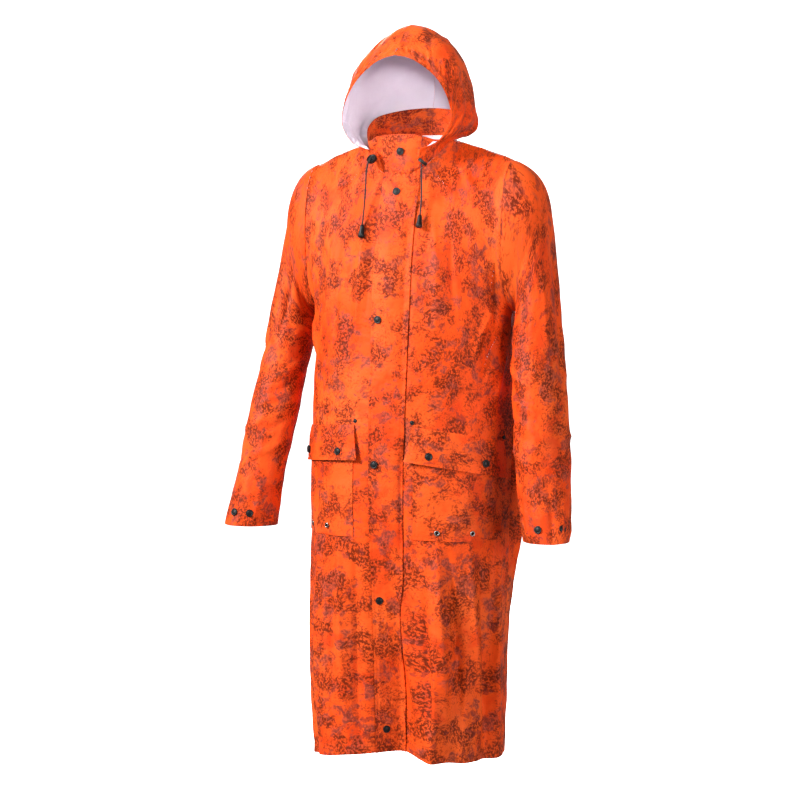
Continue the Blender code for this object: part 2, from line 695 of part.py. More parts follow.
def grid_place(grid, z, across):
    """The point and normal of a grid's outside at a level and a share of its width."""
    level = grid[:, 0, 2] + (grid[:, -1, 2] - grid[:, 0, 2]) * across
    r = min(max(int(np.searchsorted(level, z)) - 1, 0), len(level) - 2)
    v = (z - level[r]) / (level[r + 1] - level[r])
    width = (grid.shape[1] - 1) * across
    c = min(int(width), grid.shape[1] - 2)
    u = width - c
    low = grid[r, c] * (1 - u) + grid[r, c + 1] * u
    high = grid[r + 1, c] * (1 - u) + grid[r + 1, c + 1] * u
    out = np.cross(grid[r, c + 1] - grid[r, c] + grid[r + 1, c + 1] - grid[r + 1, c], high - low)
    return low * (1 - v) + high * v, out


# On the pockets, by kind of piece: its place across from the front edge and up
# from the foot, as shares of the pocket or flap that it sits on.
POCKET_SNAPS = ((0.17, 0.25), (0.71, 0.31))
POCKET_EYELETS = {
    "left": ((0.22, 0.085), (0.58, 0.085)),
    "right": ((0.31, 0.100), (0.67, 0.095)),
}
POCKET_RIVETS = (-0.005, 1.005)
RIVET_RISE = 0.0075               # of a rivet's middle over the pocket flap's top
# The last quad of each cuff, and the places round it, that carry its snaps.
CUFF_SNAPS = {1: (6, 9), -1: (5, 7)}


def on_pocket(kind, front, u, v):
    """A place on a pocket's outside and the direction that it faces."""
    across = pocket_point(kind, front, u + 0.02, v) - pocket_point(kind, front, u - 0.02, v)
    up = pocket_point(kind, front, u, v + 0.02) - pocket_point(kind, front, u, v - 0.02)
    place = pocket_point(kind, front, u, v)
    return place, np.cross(across, up) * math.copysign(1.0, place[0])


def fastenings(flap, body):
    """Snaps of the flap, pockets and cuffs, and the pockets' rivets and eyelets."""
    for i, (z, across) in enumerate(zip(FLAP_SNAPS["z"], FLAP_SNAPS["across"])):
        snap(f"snap_front_{i + 1}", *grid_place(flap, z, across), off=2 * SEAM)
    for hand, front in body.items():
        for i, (u, v) in enumerate(POCKET_SNAPS):
            snap(f"snap_pocket_{hand}_{i + 1}", *on_pocket("pocket_flap", front, u, v), off=2 * SEAM)
        for i, (u, v) in enumerate(POCKET_EYELETS[hand]):
            eyelet(f"eyelet_{hand}_{i + 1}", *on_pocket("pocket", front, u, v))
        for i, u in enumerate(POCKET_RIVETS):
            turn = LID_TURNS[0] + (LID_TURNS[1] - LID_TURNS[0]) * u
            z = LID_TOP[0] + (LID_TOP[1] - LID_TOP[0] + LID_TILT[int(hand == "right")]) * u + RIVET_RISE
            rivet(f"rivet_{hand}_{i + 1}", *on_front(front, turn, z))
        side = 1 if hand == "left" else -1
        rings = [sleeve_ring(r / SLEEVE_ROWS, 2 * YOKE_ROWS) for r in (SLEEVE_ROWS - 1, SLEEVE_ROWS)]
        cuff = np.array(rings) * np.array([side, 1.0, 1.0])
        for i, k in enumerate(CUFF_SNAPS[side]):
            quad = cuff[:, [k, k + 1]]
            out = np.cross(quad[1, 0] - quad[0, 1], quad[1, 1] - quad[0, 0]) * side
            snap(f"snap_cuff_{hand}_{i + 1}", quad.mean(axis=(0, 1)), out, off=3.7 * SEAM)


# ---- the hood's drawcords ------------------------------------------------------
# Each cord hangs from a flat round stopper on the hood's front. axis is the way
# through the stopper; the route runs from its face down the chest.
DRAWCORDS = {
    "right": {
        "stopper": (-0.0497, -0.0736, -0.0033),
        "axis": (-0.10, -0.80, 0.59),
        "route": [
            (-0.0502, -0.0774, -0.0004),
            (-0.0518, -0.0852, -0.0104),
            (-0.0533, -0.0885, -0.0210),
            (-0.0560, -0.0885, -0.0560),
            (-0.0585, -0.0900, -0.0950),
            (-0.0604, -0.0945, -0.1310),
        ],
    },
    "left": {
        "stopper": (0.0550, -0.0647, -0.0107),
        "axis": (0.575, 0.256, 0.77),
        "route": [
            (0.0526, -0.0660, -0.0143),
            (0.0541, -0.0685, -0.0290),
            (0.0572, -0.0750, -0.0560),
            (0.0598, -0.0820, -0.0850),
            (0.0604, -0.0895, -0.1130),
        ],
    },
}


def cord_line(points, step):
    """A smooth line through the route's points, with a point at each step."""
    points = np.array(points)
    at = np.concatenate([[0.0], np.cumsum(np.linalg.norm(np.diff(points, axis=0), axis=1))])
    steps = np.linspace(0.0, at[-1], int(round(at[-1] / step)) + 1)
    return np.array([[smooth(t, at, points[:, k]) for k in range(3)] for t in steps])


def drawcords():
    """The two cords, each with its stopper and the bell on its end."""
    for hand, part in DRAWCORDS.items():
        r, t = TOGGLE_RADIUS, TOGGLE_THICK / 2
        profile = [(r * 0.84, -t), (r, -t * 0.5), (r, t * 0.5), (r * 0.84, t)]
        place, axis = np.array(part["stopper"]), np.array(part["axis"])
        turned(f"stopper_{hand}", place, axis, profile, 14, BLACK, 0.35)
        line = cord_line(part["route"], CORD_RADIUS * 5)
        curve = bpy.data.curves.new(f"drawcord_{hand}", "CURVE")
        curve.dimensions = "3D"
        curve.bevel_depth = CORD_RADIUS
        curve.bevel_resolution = 2
        curve.use_fill_caps = True
        spline = curve.splines.new("POLY")
        spline.points.add(len(line) - 1)
        for point, at in zip(spline.points, line):
            point.co = (*at, 1.0)
        obj = bpy.data.objects.new(f"drawcord_{hand}", curve)
        bpy.context.scene.collection.objects.link(obj)
        curve.materials.append(material(f"drawcord_{hand}", BLACK, 0.8, 0.0))
        down = unit(line[-1] - line[-2])
        bell = [(0.0024, SEAM), (0.0042, 0.004), (0.0048, 0.013), (0.0066, 0.021), (0.0052, CORD_END_LENGTH)]
        turned(f"cord_end_{hand}", line[-1], down, bell, 10, BLACK, 0.4)


body_fronts = body_and_sleeves()
collar()
hood()
storm_flap_grid = storm_flap(body_fronts)
pockets(body_fronts)
fastenings(storm_flap_grid, body_fronts)
drawcords()
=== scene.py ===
import math

import bpy
import numpy as np
from mathutils import Matrix, Vector, noise


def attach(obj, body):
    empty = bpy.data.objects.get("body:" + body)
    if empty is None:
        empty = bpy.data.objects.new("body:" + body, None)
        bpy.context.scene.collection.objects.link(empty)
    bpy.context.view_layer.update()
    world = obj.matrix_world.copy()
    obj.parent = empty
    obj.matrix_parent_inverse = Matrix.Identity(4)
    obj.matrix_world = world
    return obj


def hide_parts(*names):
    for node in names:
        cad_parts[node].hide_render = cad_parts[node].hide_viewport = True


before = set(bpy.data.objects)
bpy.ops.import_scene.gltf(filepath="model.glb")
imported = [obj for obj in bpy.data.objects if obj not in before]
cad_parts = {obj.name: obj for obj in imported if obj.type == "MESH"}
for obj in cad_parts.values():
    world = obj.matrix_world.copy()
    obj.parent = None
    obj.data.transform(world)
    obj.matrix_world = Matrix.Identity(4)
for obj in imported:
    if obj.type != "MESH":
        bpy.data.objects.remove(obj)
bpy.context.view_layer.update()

# ---- camera, lights and floor --------------------------------------------------------
# A plain pale studio: the coat hangs clear of a pale floor in soft light. The camera
# stands 4 m away, a little to the wearer's left of the front, as in the photograph.
AIM = Vector((-0.0183, -0.0081, -0.480))
AZIMUTH, ELEVATION, DISTANCE = math.radians(24.0), math.radians(4.0), 4.0


def towards(azimuth, elevation):
    """The direction from the coat to a place beside it; azimuth 0 is in front."""
    flat = math.cos(elevation)
    return Vector((math.sin(azimuth) * flat, -math.cos(azimuth) * flat, math.sin(elevation)))


def hex_colour(code):
    """An sRGB hex colour as linear values."""
    steps = [int(code[i : i + 2], 16) / 255 for i in (1, 3, 5)]
    return tuple(s / 12.92 if s <= 0.04045 else ((s + 0.055) / 1.055) ** 2.4 for s in steps) + (1.0,)


def put(name, data):
    """A new object in the scene."""
    made = bpy.data.objects.new(name, data)
    bpy.context.scene.collection.objects.link(made)
    return made


camera = put("camera", bpy.data.cameras.new("camera"))
camera.data.lens, camera.data.sensor_width = 90.0, 36.0
camera.data.clip_end = 60.0
look = towards(AZIMUTH, ELEVATION)
camera.location = AIM + look * DISTANCE
camera.rotation_euler = look.to_track_quat("Z", "Y").to_euler()
bpy.context.scene.camera = camera


def softbox(name, azimuth, elevation, distance, size, power, aim=(0.0, 0.0, -0.45), spread=180):
    """A square area light that faces the coat, or one place on it."""
    lamp = bpy.data.lights.new(name, "AREA")
    lamp.shape, lamp.size, lamp.energy, lamp.spread = "SQUARE", size, power, math.radians(spread)
    box = put(name, lamp)
    way = towards(math.radians(azimuth), math.radians(elevation))
    box.location = Vector(aim) + way * distance
    box.rotation_euler = way.to_track_quat("Z", "Y").to_euler()


softbox("key_light", -38, 28, 4.4, 1.2, 400.0)
softbox("fill_light", 62, 0, 3.8, 1.4, 84.0)
softbox("hood_light", 22, 2, 3.6, 0.5, 0.7, aim=(-0.02, 0.04, 0.18), spread=12)
softbox("back_light", 212, 24, 3.8, 1.3, 190.0)
bpy.context.scene.view_settings.view_transform = "Standard"

world = bpy.data.worlds.new("studio")
world.use_nodes = True
world.node_tree.nodes["Background"].inputs["Color"].default_value = hex_colour("#FFFFFF")
world.node_tree.nodes["Background"].inputs["Strength"].default_value = 0.34
bpy.context.scene.world = world


def add_node(tree, kind, values=None, **settings):
    """Adds a node with its settings; a value that is another node's socket is linked."""
    made = tree.nodes.new("ShaderNode" + kind)
    for key, setting in settings.items():
        setattr(made, key, setting)
    for key, value in (values or {}).items():
        if isinstance(value, bpy.types.NodeSocket):
            tree.links.new(value, made.inputs[key])
        else:
            made.inputs[key].default_value = value
    return made


def new_material(name):
    """An empty material and its node tree."""
    made = bpy.data.materials.new(name)
    made.use_nodes = True
    made.node_tree.nodes.clear()
    return made, made.node_tree


def finish_surface(tree, values):
    """Ends a material's nodes in one Principled shader with these values."""
    shader = add_node(tree, "BsdfPrincipled", values)
    out = add_node(tree, "OutputMaterial")
    tree.links.new(shader.outputs[0], out.inputs["Surface"])


def blend(tree, share, low, high):
    """From one colour to another, each a hex code or a socket."""
    low, high = (hex_colour(c) if isinstance(c, str) else c for c in (low, high))
    return add_node(tree, "Mix", {0: share, 6: low, 7: high}, data_type="RGBA").outputs[2]


def mesh_of(name, points, faces, *materials):
    """A mesh from its points and faces, with its materials."""
    mesh = bpy.data.meshes.new(name)
    mesh.from_pydata(points, [], faces)
    mesh.update()
    for made in materials:
        mesh.materials.append(made)
    return mesh


# Bright white paper on the floor, bent up into a wall all round. The lamps and the
# world light the coat, and the paper only stands behind it.
paper, paper_tree = new_material("pale_studio_paper")
finish_surface(paper_tree, {
    "Base Color": hex_colour("#F7F6F5"), "Roughness": 0.9, "Emission Color": hex_colour("#FFFFFF"),
    "Emission Strength": 1.0})
FLOOR_Z = -1.42
FLOOR_RADIUS, BEND, WALL_TOP, SIDES = 8.0, 3.0, 12.0, 64
profile = [(FLOOR_RADIUS - BEND * (1 - math.sin(t)), BEND * (1 - math.cos(t)))
           for t in np.radians(np.linspace(0, 90, 10))] + [(FLOOR_RADIUS, WALL_TOP)]
paper_points = [(0.0, 0.0, FLOOR_Z)]
for far, up in profile:
    for turn in np.linspace(0, 2 * math.pi, SIDES, endpoint=False):
        paper_points.append((far * math.cos(turn), far * math.sin(turn), FLOOR_Z + up))
paper_faces = [(0, 1 + k, 1 + (k + 1) % SIDES) for k in range(SIDES)]
for i in range(len(profile) - 1):
    for k in range(SIDES):
        a, b = 1 + i * SIDES + k, 1 + i * SIDES + (k + 1) % SIDES
        paper_faces.append((a, a + SIDES, b + SIDES, b))
studio_paper = put("studio_paper", mesh_of("studio_paper", paper_points, paper_faces, paper))
studio_paper.visible_diffuse = studio_paper.visible_glossy = studio_paper.visible_shadow = False

# ---- the body's cut ------------------------------------------------------------------
# The coat's panels follow one form: rings of cloth from the hem to the armpits, and
# above them a yoke between the centre line, the armhole and the shoulder seam.
CLOTH = 0.0010          # coated cloth, drawn a little thick so that edges show
DOUBLE = 0.0018         # two layers sewn together
SEAM = 0.0003
HEM_Z = -1.175
CHEST_Z = -0.300
ROUNDNESS = 2.3
NECK_WIDTH = 0.088
NECK_Y = 0.015
NECK_FRONT = (-0.0615, -0.035)
NECK_SIDE_Z = 0.035
NECK_BACK = (0.087, 0.050)
SHOULDER_TIP = (0.212, 0.025, -0.006)
NECK_TURN = 28.0
FRONT_TURNS = [0.0, 3.0, 5.9, 9.3, 15.0, 21.5, NECK_TURN, 38.0, 50.0, 62.0, 72.0, 82.0, 90.0]
BACK_TURNS = [0.0, 7.0, 14.0, 21.0, NECK_TURN, 38.0, 50.0, 62.0, 72.0, 82.0, 90.0]
SKIRT_ROWS = 17
YOKE_ROWS = 9


def table(columns, rows):
    """A table as one array for each named column."""
    return dict(zip(columns.split(), np.array(rows, float).T))


BODY = table(
    "z       half_width front   back    middle", [
    (-1.230, 0.197,     0.133,  0.146, -0.012),
    (-1.000, 0.201,     0.143,  0.142, -0.001),
    (-0.800, 0.205,     0.152,  0.138,  0.012),
    (-0.620, 0.208,     0.156,  0.134,  0.020),
    (-0.460, 0.209,     0.150,  0.132,  0.021),
    (-0.300, 0.209,     0.137,  0.130,  0.022),
])

# The largest folds of the body, each by its place round the body in degrees from
# the centre front (+ is the wearer's left), at its top and at its foot.
FOLDS = table(
    "top     foot    turn    foot_turn  spread  depth", [
    (-0.640, -1.700,    4.0,    5.0,   13.0,  -0.060),
    (-0.740, -1.620,   27.0,   29.0,    7.5,   0.034),
    (-0.660, -1.560,   38.0,   47.0,    5.0,   0.013),
    (-0.560, -1.640,   66.0,   72.0,    7.0,  -0.012),
    (-0.700, -1.640,   84.0,   86.0,    6.0,   0.010),
    (-0.420, -0.820,  100.0,  104.0,    8.0,   0.020),
    (-0.700, -1.640,  118.0,  124.0,    9.0,  -0.016),
    (-0.620, -1.700,  152.0,  147.0,    8.0,   0.017),
    (-0.760, -1.560,  176.0,  178.0,   10.0,  -0.014),
    (-0.660, -1.640, -154.0, -150.0,    9.0,   0.015),
    (-0.740, -1.600, -126.0, -122.0,    8.0,  -0.016),
    (-0.600, -1.700,  -94.0,  -96.0,    9.0,   0.011),
    (-0.640, -1.600,  -62.0,  -60.0,    8.0,  -0.013),
    (-0.780, -1.640,  -36.0,  -33.0,    9.0,   0.016),
    (-0.350, -0.600,  -70.0,  -66.0,   10.0,   0.007),
])

# How far the hem hangs below its level, round the body.
HEM = table(
    "turn    drop", [
    (-180.0, 0.000),
    (-120.0, 0.010),
    (-80.0,  0.026),
    (-40.0,  0.010),
    (0.0,   -0.004),
    (60.0,   0.002),
    (120.0,  0.004),
    (180.0,  0.000),
])

# The left sleeve, from the armhole to the cuff, by the outer and the inner end of
# each ring. depth is its half size from front to back and turn its twist in degrees.
SLEEVE = table(
    "out_x  out_z    in_x    in_z     y       depth   turn", [
    (0.2120, -0.0060, 0.2090, -0.3000, 0.0240, 0.0720,   0.0),
    (0.2350, -0.0170, 0.2165, -0.3025, 0.0280, 0.0725,   0.0),
    (0.2560, -0.0360, 0.2205, -0.3060, 0.0330, 0.0720,   0.0),
    (0.2700, -0.0640, 0.2220, -0.3100, 0.0370, 0.0715,   0.0),
    (0.2770, -0.1050, 0.2225, -0.3150, 0.0385, 0.0700,   0.0),
    (0.2870, -0.1800, 0.2230, -0.3230, 0.0350, 0.0680,   0.0),
    (0.2990, -0.2600, 0.2235, -0.3360, 0.0250, 0.0660,   0.0),
    (0.3120, -0.3400, 0.2250, -0.3650, 0.0100, 0.0640,  -4.0),
    (0.3240, -0.4100, 0.2300, -0.4170, -0.0060, 0.0610, -10.0),
    (0.3360, -0.4800, 0.2360, -0.4800, -0.0240, 0.0580, -18.0),
    (0.3470, -0.5650, 0.2470, -0.5650, -0.0440, 0.0550, -28.0),
    (0.3560, -0.6500, 0.2600, -0.6510, -0.0620, 0.0510, -36.0),
    (0.3720, -0.7350, 0.2640, -0.7380, -0.0790, 0.0400, -44.0),
])
SLEEVE_ROWS, SLEEVE_COLUMNS = 19, 2 * YOKE_ROWS


def smooth(x, xs, ys):
    """The value at x of a smooth curve through the points (xs, ys)."""
    if xs[0] > xs[-1]:
        xs, ys = xs[::-1], ys[::-1]
    slopes = np.gradient(ys, xs)
    x = min(max(x, xs[0]), xs[-1])
    i = min(max(int(np.searchsorted(xs, x)) - 1, 0), len(xs) - 2)
    h = xs[i + 1] - xs[i]
    t = (x - xs[i]) / h
    return (
        (2 * t**3 - 3 * t**2 + 1) * ys[i]
        + (t**3 - 2 * t**2 + t) * h * slopes[i]
        + (3 * t**2 - 2 * t**3) * ys[i + 1]
        + (t**3 - t**2) * h * slopes[i + 1]
    )


def smooth_row(tab, key, at):
    """Every other column of a table, read at one value of its key column."""
    return {name: smooth(at, tab[key], tab[name]) for name in tab if name != key}


def power(value, exponent):
    """A power that keeps the value's sign."""
    return math.copysign(abs(value) ** exponent, value)


def unit(vectors):
    """The same directions, one long."""
    return vectors / np.linalg.norm(vectors, axis=-1, keepdims=True)


def fold_height(turn, z):
    """How far the folds move the cloth out (or in) at one place."""
    total = 0.0
    for top, foot, at, foot_at, spread, depth in zip(*FOLDS.values()):
        if foot < z < top:
            down = (top - z) / (top - foot)
            here = at + (foot_at - at) * min(2 * down, 1.0)
            away = (turn - here + 180.0) % 360.0 - 180.0
            total += depth * math.sin(math.pi * down) ** 1.4 * math.exp(-((away / spread) ** 2))
    return total


def body_point(turn, z):
    """A point of the body's outside below the armpits."""
    ring = smooth_row(BODY, "z", z)
    s, c = math.sin(math.radians(turn)), math.cos(math.radians(turn))
    depth = ring["front"] if c > 0 else ring["back"]
    x = ring["half_width"] * power(s, 2 / ROUNDNESS)
    y = -depth * power(c, 2 / ROUNDNESS)
    out = np.array([x / ring["half_width"] ** 2, y / depth**2, 0.0])
    return np.array([x, ring["middle"] + y, z]) + unit(out) * fold_height(turn, z)


def neck_point(angle):
    """A point of the neck opening; 0 is the centre front and 180 the centre back."""
    s, c = math.sin(math.radians(angle)), math.cos(math.radians(angle))
    end_y, end_z = NECK_FRONT if c > 0 else NECK_BACK
    y = NECK_Y + (end_y - NECK_Y) * abs(c)
    z = end_z + (NECK_SIDE_Z - end_z) * s**2.6
    return np.array([NECK_WIDTH * s, y, z])


def top_point(turn, angle_scale, angle_start):
    """A point of a panel's top edge: the neck opening, then the shoulder seam."""
    if turn <= NECK_TURN:
        return neck_point(angle_start + angle_scale * 90.0 * turn / NECK_TURN)
    along = (turn - NECK_TURN) / (90.0 - NECK_TURN)
    neck = neck_point(90.0)
    tip = np.array(SHOULDER_TIP)
    lift = np.array([0.0, 0.0, 0.003 * math.sin(math.pi * along)])
    return neck + (tip - neck) * along + lift


def sleeve_ring(along, count):
    """One ring of the left sleeve, from the armpit up the front and down the back."""
    rows = len(SLEEVE["y"])
    row = {name: smooth(along * (rows - 1), np.arange(rows), SLEEVE[name]) for name in SLEEVE}
    outer = np.array([row["out_x"], row["y"], row["out_z"]])
    inner = np.array([row["in_x"], row["y"], row["in_z"]])
    centre = (outer + inner) / 2
    reach = np.linalg.norm(outer - inner) / 2
    outward = (outer - inner) / (2 * reach)
    forward = np.array([0.0, -1.0, 0.0])
    s, c = math.sin(math.radians(row["turn"])), math.cos(math.radians(row["turn"]))
    points = []
    for k in range(count):
        a = 2 * math.pi * k / count
        across = -reach * power(math.cos(a), 0.94)
        ahead = row["depth"] * power(math.sin(a), 0.94)
        points.append(centre + outward * (across * c + ahead * s) + forward * (ahead * c - across * s))
    return np.array(points)


def panel_grid(side, turns, back):
    """The outside of one half of the body, by rows from the hem up.

    Columns run from the centre line to the side seam. Above the armpits the
    rows are a patch between the centre line, the armhole and the top edge.
    """
    base = 180.0 if back else 0.0
    sign = -1.0 if back else 1.0
    rows = []
    for r in range(SKIRT_ROWS + 1):
        row = []
        for turn in turns:
            place = side * (base + sign * turn)
            hem = HEM_Z - smooth((place + 180.0) % 360.0 - 180.0, HEM["turn"], HEM["drop"])
            z = hem + (CHEST_Z - hem) * r / SKIRT_ROWS
            row.append(body_point(place, z))
        rows.append(row)
    lower = np.array(rows)
    flip = np.array([side, 1.0, 1.0])

    ring = sleeve_ring(0.0, SLEEVE_COLUMNS)
    if back:
        edge = np.concatenate([ring[:1], ring[:YOKE_ROWS - 1:-1]])
    else:
        edge = ring[: YOKE_ROWS + 1]
    edge = edge * flip
    lower[-1, -1] = edge[0]
    bottom = lower[-1]
    start, scale = (180.0, -1.0) if back else (0.0, 1.0)
    top = np.array([top_point(t, scale, start) for t in turns]) * flip
    top[-1] = edge[-1]
    centre_top, centre_low = top[0], bottom[0]
    bulge = 0.016 if back else -0.010
    patch = []
    for r in range(1, YOKE_ROWS + 1):
        v = r / YOKE_ROWS
        ease = math.sin(math.pi * v)
        left = centre_low + (centre_top - centre_low) * v + np.array([0.0, bulge * ease, 0.0])
        line = []
        for c, turn in enumerate(turns):
            u = turn / 90.0
            flat = (
                (1 - u) * (1 - v) * centre_low + u * (1 - v) * bottom[-1]
                + (1 - u) * v * centre_top + u * v * top[-1]
            )
            line.append((1 - v) * bottom[c] + v * top[c] + (1 - u) * left + u * edge[r] - flat)
        patch.append(line)
    grid = np.concatenate([lower, np.array(patch)])
    return eased(grid)


def eased(grid, rounds=10):
    """The cloth drawn smooth, more and more from below the armpits up, edges held."""
    rows = np.arange(1, len(grid) - 1)
    share = np.clip((rows - SKIRT_ROWS + 6) / 6, 0.0, 1.0)[:, None, None] / 2
    for _ in range(rounds):
        mean = (grid[:-2, 1:-1] + grid[2:, 1:-1] + grid[1:-1, :-2] + grid[1:-1, 2:]) / 4
        grid[1:-1, 1:-1] += share * (mean - grid[1:-1, 1:-1])
    return grid


def normals_of(grid, wrap=False):
    """Unit normals of a grid of points, one for each point."""
    if wrap:
        across = np.roll(grid, -1, axis=1) - np.roll(grid, 1, axis=1)
    else:
        across = np.gradient(grid, axis=1)
    return unit(np.cross(across, np.gradient(grid, axis=0)))


def through(values, at, wrap=False):
    """Values at fractional places along the first axis, on smooth curves."""
    if wrap:
        values, at = np.concatenate([values[-2:], values, values[:3]]), at + 2
    slope = np.gradient(values, axis=0)
    i = np.clip(at.astype(int), 0, len(values) - 2)
    t = (at - i).reshape(-1, *[1] * (values.ndim - 1))
    return (
        (2 * t**3 - 3 * t**2 + 1) * values[i] + (t**3 - 2 * t**2 + t) * slope[i]
        + (3 * t**2 - 2 * t**3) * values[i + 1] + (t**3 - t**2) * slope[i + 1]
    )


def finer(grid, rows_at, columns_at, wrap=False):
    """A grid drawn again through its own points, with many more of them."""
    tall = through(grid, rows_at)
    return through(tall.transpose(1, 0, 2), columns_at, wrap).transpose(1, 0, 2)


def steps(count, each, close=()):
    """Fractional places along a grid: even steps, and a few close to both ends."""
    even = np.arange(count * each + 1) / each
    return np.unique(np.round(np.concatenate([even, close, count - np.array(close)]), 5))


def creases(across, up, rows):
    """Height of the soft folds in a table, at flat places given in metres.

    Each row runs from (x0, y0) to (x1, y1) with its middle moved by bow; width is
    its half width and depth is how far the cloth moves, out or in, in millimetres.
    """
    total = np.zeros_like(across)
    for x0, y0, x1, y1, bow, width, depth in rows:
        run = np.array([x1 - x0, y1 - y0]) / 1000
        long = np.hypot(*run)
        t = ((across - x0 / 1000) * run[0] + (up - y0 / 1000) * run[1]) / long**2
        off = ((across - x0 / 1000) * run[1] - (up - y0 / 1000) * run[0]) / long
        t = np.clip(t, 0.0, 1.0)
        off = off - bow / 1000 * 4 * t * (1 - t)
        fade = np.sin(np.pi * t) ** 0.8
        reach = width / 1000 * (0.55 + 0.45 * fade)
        crisp = (np.sqrt(off**2 + (0.30 * reach) ** 2) - 0.30 * reach) / (0.62 * reach)
        total += depth / 1000 * fade * np.exp(-crisp)
    return total


def ramp(value):
    """A value held between 0 and 1."""
    return np.clip(value, 0.0, 1.0)


def hump(off, reach):
    """A soft rise: 1 in its middle and nearly 0 at twice its reach."""
    return np.exp(-((off / reach) ** 2))


def run_along(points):
    """How far along each point, or each row of points, is from the first."""
    legs = np.linalg.norm(np.diff(points, axis=0), axis=-1)
    return np.concatenate([np.zeros((1, *legs.shape[1:])), np.cumsum(legs, axis=0)])


def uneven(across, up, size, seed):
    """Slow irregular waves between -1 and 1, with the given size in metres."""
    flat = zip((across / size).ravel(), (up / size).ravel())
    return np.array([noise.noise((x, y, seed)) for x, y in flat]).reshape(across.shape)


def pucker(along, away, seed, pitch=0.013, reach=0.011, height=0.0006):
    """Small ripples that a line of sewing draws into the cloth beside it."""
    drift = uneven(along, away * 0.2, 0.05, seed)
    strength = 0.55 + 0.9 * uneven(along, away * 0.1, 0.11, seed + 7.3)
    wave = np.sin(2 * np.pi * (along / pitch + 0.9 * drift))
    return height * strength * wave * np.exp(-away / reach) - 0.0008 * hump(away, 0.0026)


def ready(obj):
    """Makes an object the only selected and active one."""
    bpy.ops.object.select_all(action="DESELECT")
    bpy.context.view_layer.objects.active = obj
    obj.select_set(True)


def cloth_piece(node, outer, out, thick, flat, materials, wrap=False):
    """A thin closed shell of cloth under a grid of outside points, for one node.

    flat holds each point's place on the cut cloth, which becomes its UV map. The
    first material is the printed side with the edges and the last the inner side.
    """
    rows, columns = outer.shape[:2]
    points = np.concatenate([outer.reshape(-1, 3), (outer - out * thick).reshape(-1, 3)])
    layer = rows * columns
    r, c = np.meshgrid(np.arange(rows - 1), np.arange(columns if wrap else columns - 1), indexing="ij")
    d = (c + 1) % columns
    face = np.stack([r * columns + c, r * columns + d, (r + 1) * columns + d, (r + 1) * columns + c], -1)
    face = face.reshape(-1, 4)
    place = np.stack([np.stack([r + a, c + b], -1) for a, b in ((0, 0), (0, 1), (1, 1), (1, 0))], -2)
    place = place.reshape(-1, 4, 2)
    if wrap:
        flat = np.concatenate([flat, flat[:, :1] + [[[wrap, 0.0]]]], axis=1)
    corner = flat[place[..., 0], place[..., 1]]
    edges, edge_flat = [], []

    def edge(line, ahead):
        """The narrow faces along one edge of the cloth."""
        for (r0, c0), (r1, c1) in zip(line, line[1:]):
            p, q = r0 * columns + c0 % columns, r1 * columns + c1 % columns
            edges.append((p, q, q + layer, p + layer) if ahead else (q, p, p + layer, q + layer))
            ends = ((r0, c0), (r1, c1)) if ahead else ((r1, c1), (r0, c0))
            edge_flat.append([flat[k] for k in (*ends, *ends[::-1])])

    last = columns if wrap else columns - 1
    edge([(0, i) for i in range(last + 1)], False)
    edge([(rows - 1, i) for i in range(last + 1)], True)
    if not wrap:
        edge([(i, 0) for i in range(rows)], True)
        edge([(i, last) for i in range(rows)], False)
    faces = np.concatenate([face, face[:, ::-1] + layer, np.array(edges)])
    uvs = np.concatenate([corner, corner[:, ::-1], np.array(edge_flat)])
    a, b, e = (points[faces[: len(face), k]] for k in (0, 1, 2))
    outward = np.cross(b - a, e - a)
    if (outward * out.reshape(-1, 3)[face[:, 0]]).sum() < 0:
        faces, uvs = faces[:, ::-1], uvs[:, ::-1]
    mesh = mesh_of(node + "_cloth", points.tolist(), faces.tolist(), *materials)
    mesh.uv_layers.new(name="cut_cloth").data.foreach_set("uv", uvs.reshape(-1))
    index = np.zeros(len(faces), np.int32)
    index[len(face) : 2 * len(face)] = len(materials) - 1
    mesh.polygons.foreach_set("material_index", index)
    mesh.shade_smooth()
    piece = put(node + "_cloth", mesh)
    ready(piece)
    bpy.ops.object.shade_smooth_by_angle(angle=math.radians(55))
    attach(piece, "root")
    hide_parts(node)
    return piece


def grain(tree, scale, detail=2.0):
    """Fine noise over a piece's own coordinates."""
    place = add_node(tree, "TexCoord").outputs["Object"]
    return add_node(tree, "TexNoise", {"Vector": place, "Scale": scale, "Detail": detail}).outputs["Fac"]


# Lock stitches of polyester thread dyed near the cloth, 3.4 mm apart along every seam.
def polyester_thread(name):
    made, tree = new_material(name)
    finish_surface(tree, {"Base Color": blend(tree, grain(tree, 1500.0, 1.0), "#B23A12", "#D04E1E"),
                          "Roughness": 0.6})
    return made


THREAD = polyester_thread("polyester_thread")
STITCH_PITCH, STITCH_LONG, STITCH_END, THREAD_HALF = 0.0034, 0.0026, 0.004, 0.00022
OCTAHEDRON = np.array([(0, 3, 2), (0, 4, 3), (0, 5, 4), (0, 2, 5),
                       (1, 2, 3), (1, 3, 4), (1, 4, 5), (1, 5, 2)])


def inset_line(grid, out, axis, away, last=False):
    """A line on a grid, at a distance from its first or last column or row."""
    if axis == 0:
        grid, out = grid.transpose(1, 0, 2), out.transpose(1, 0, 2)
    if last:
        grid, out = grid[:, ::-1], out[:, ::-1]
    line, up = [], []
    for i, far in enumerate(run_along(grid.transpose(1, 0, 2)).T):
        at = np.interp(away, far, np.arange(len(far)))
        j, part = int(at), at - int(at)
        line.append(grid[i, j] * (1 - part) + grid[i, j + 1] * part)
        up.append(out[i, j])
    return np.array(line), np.array(up)


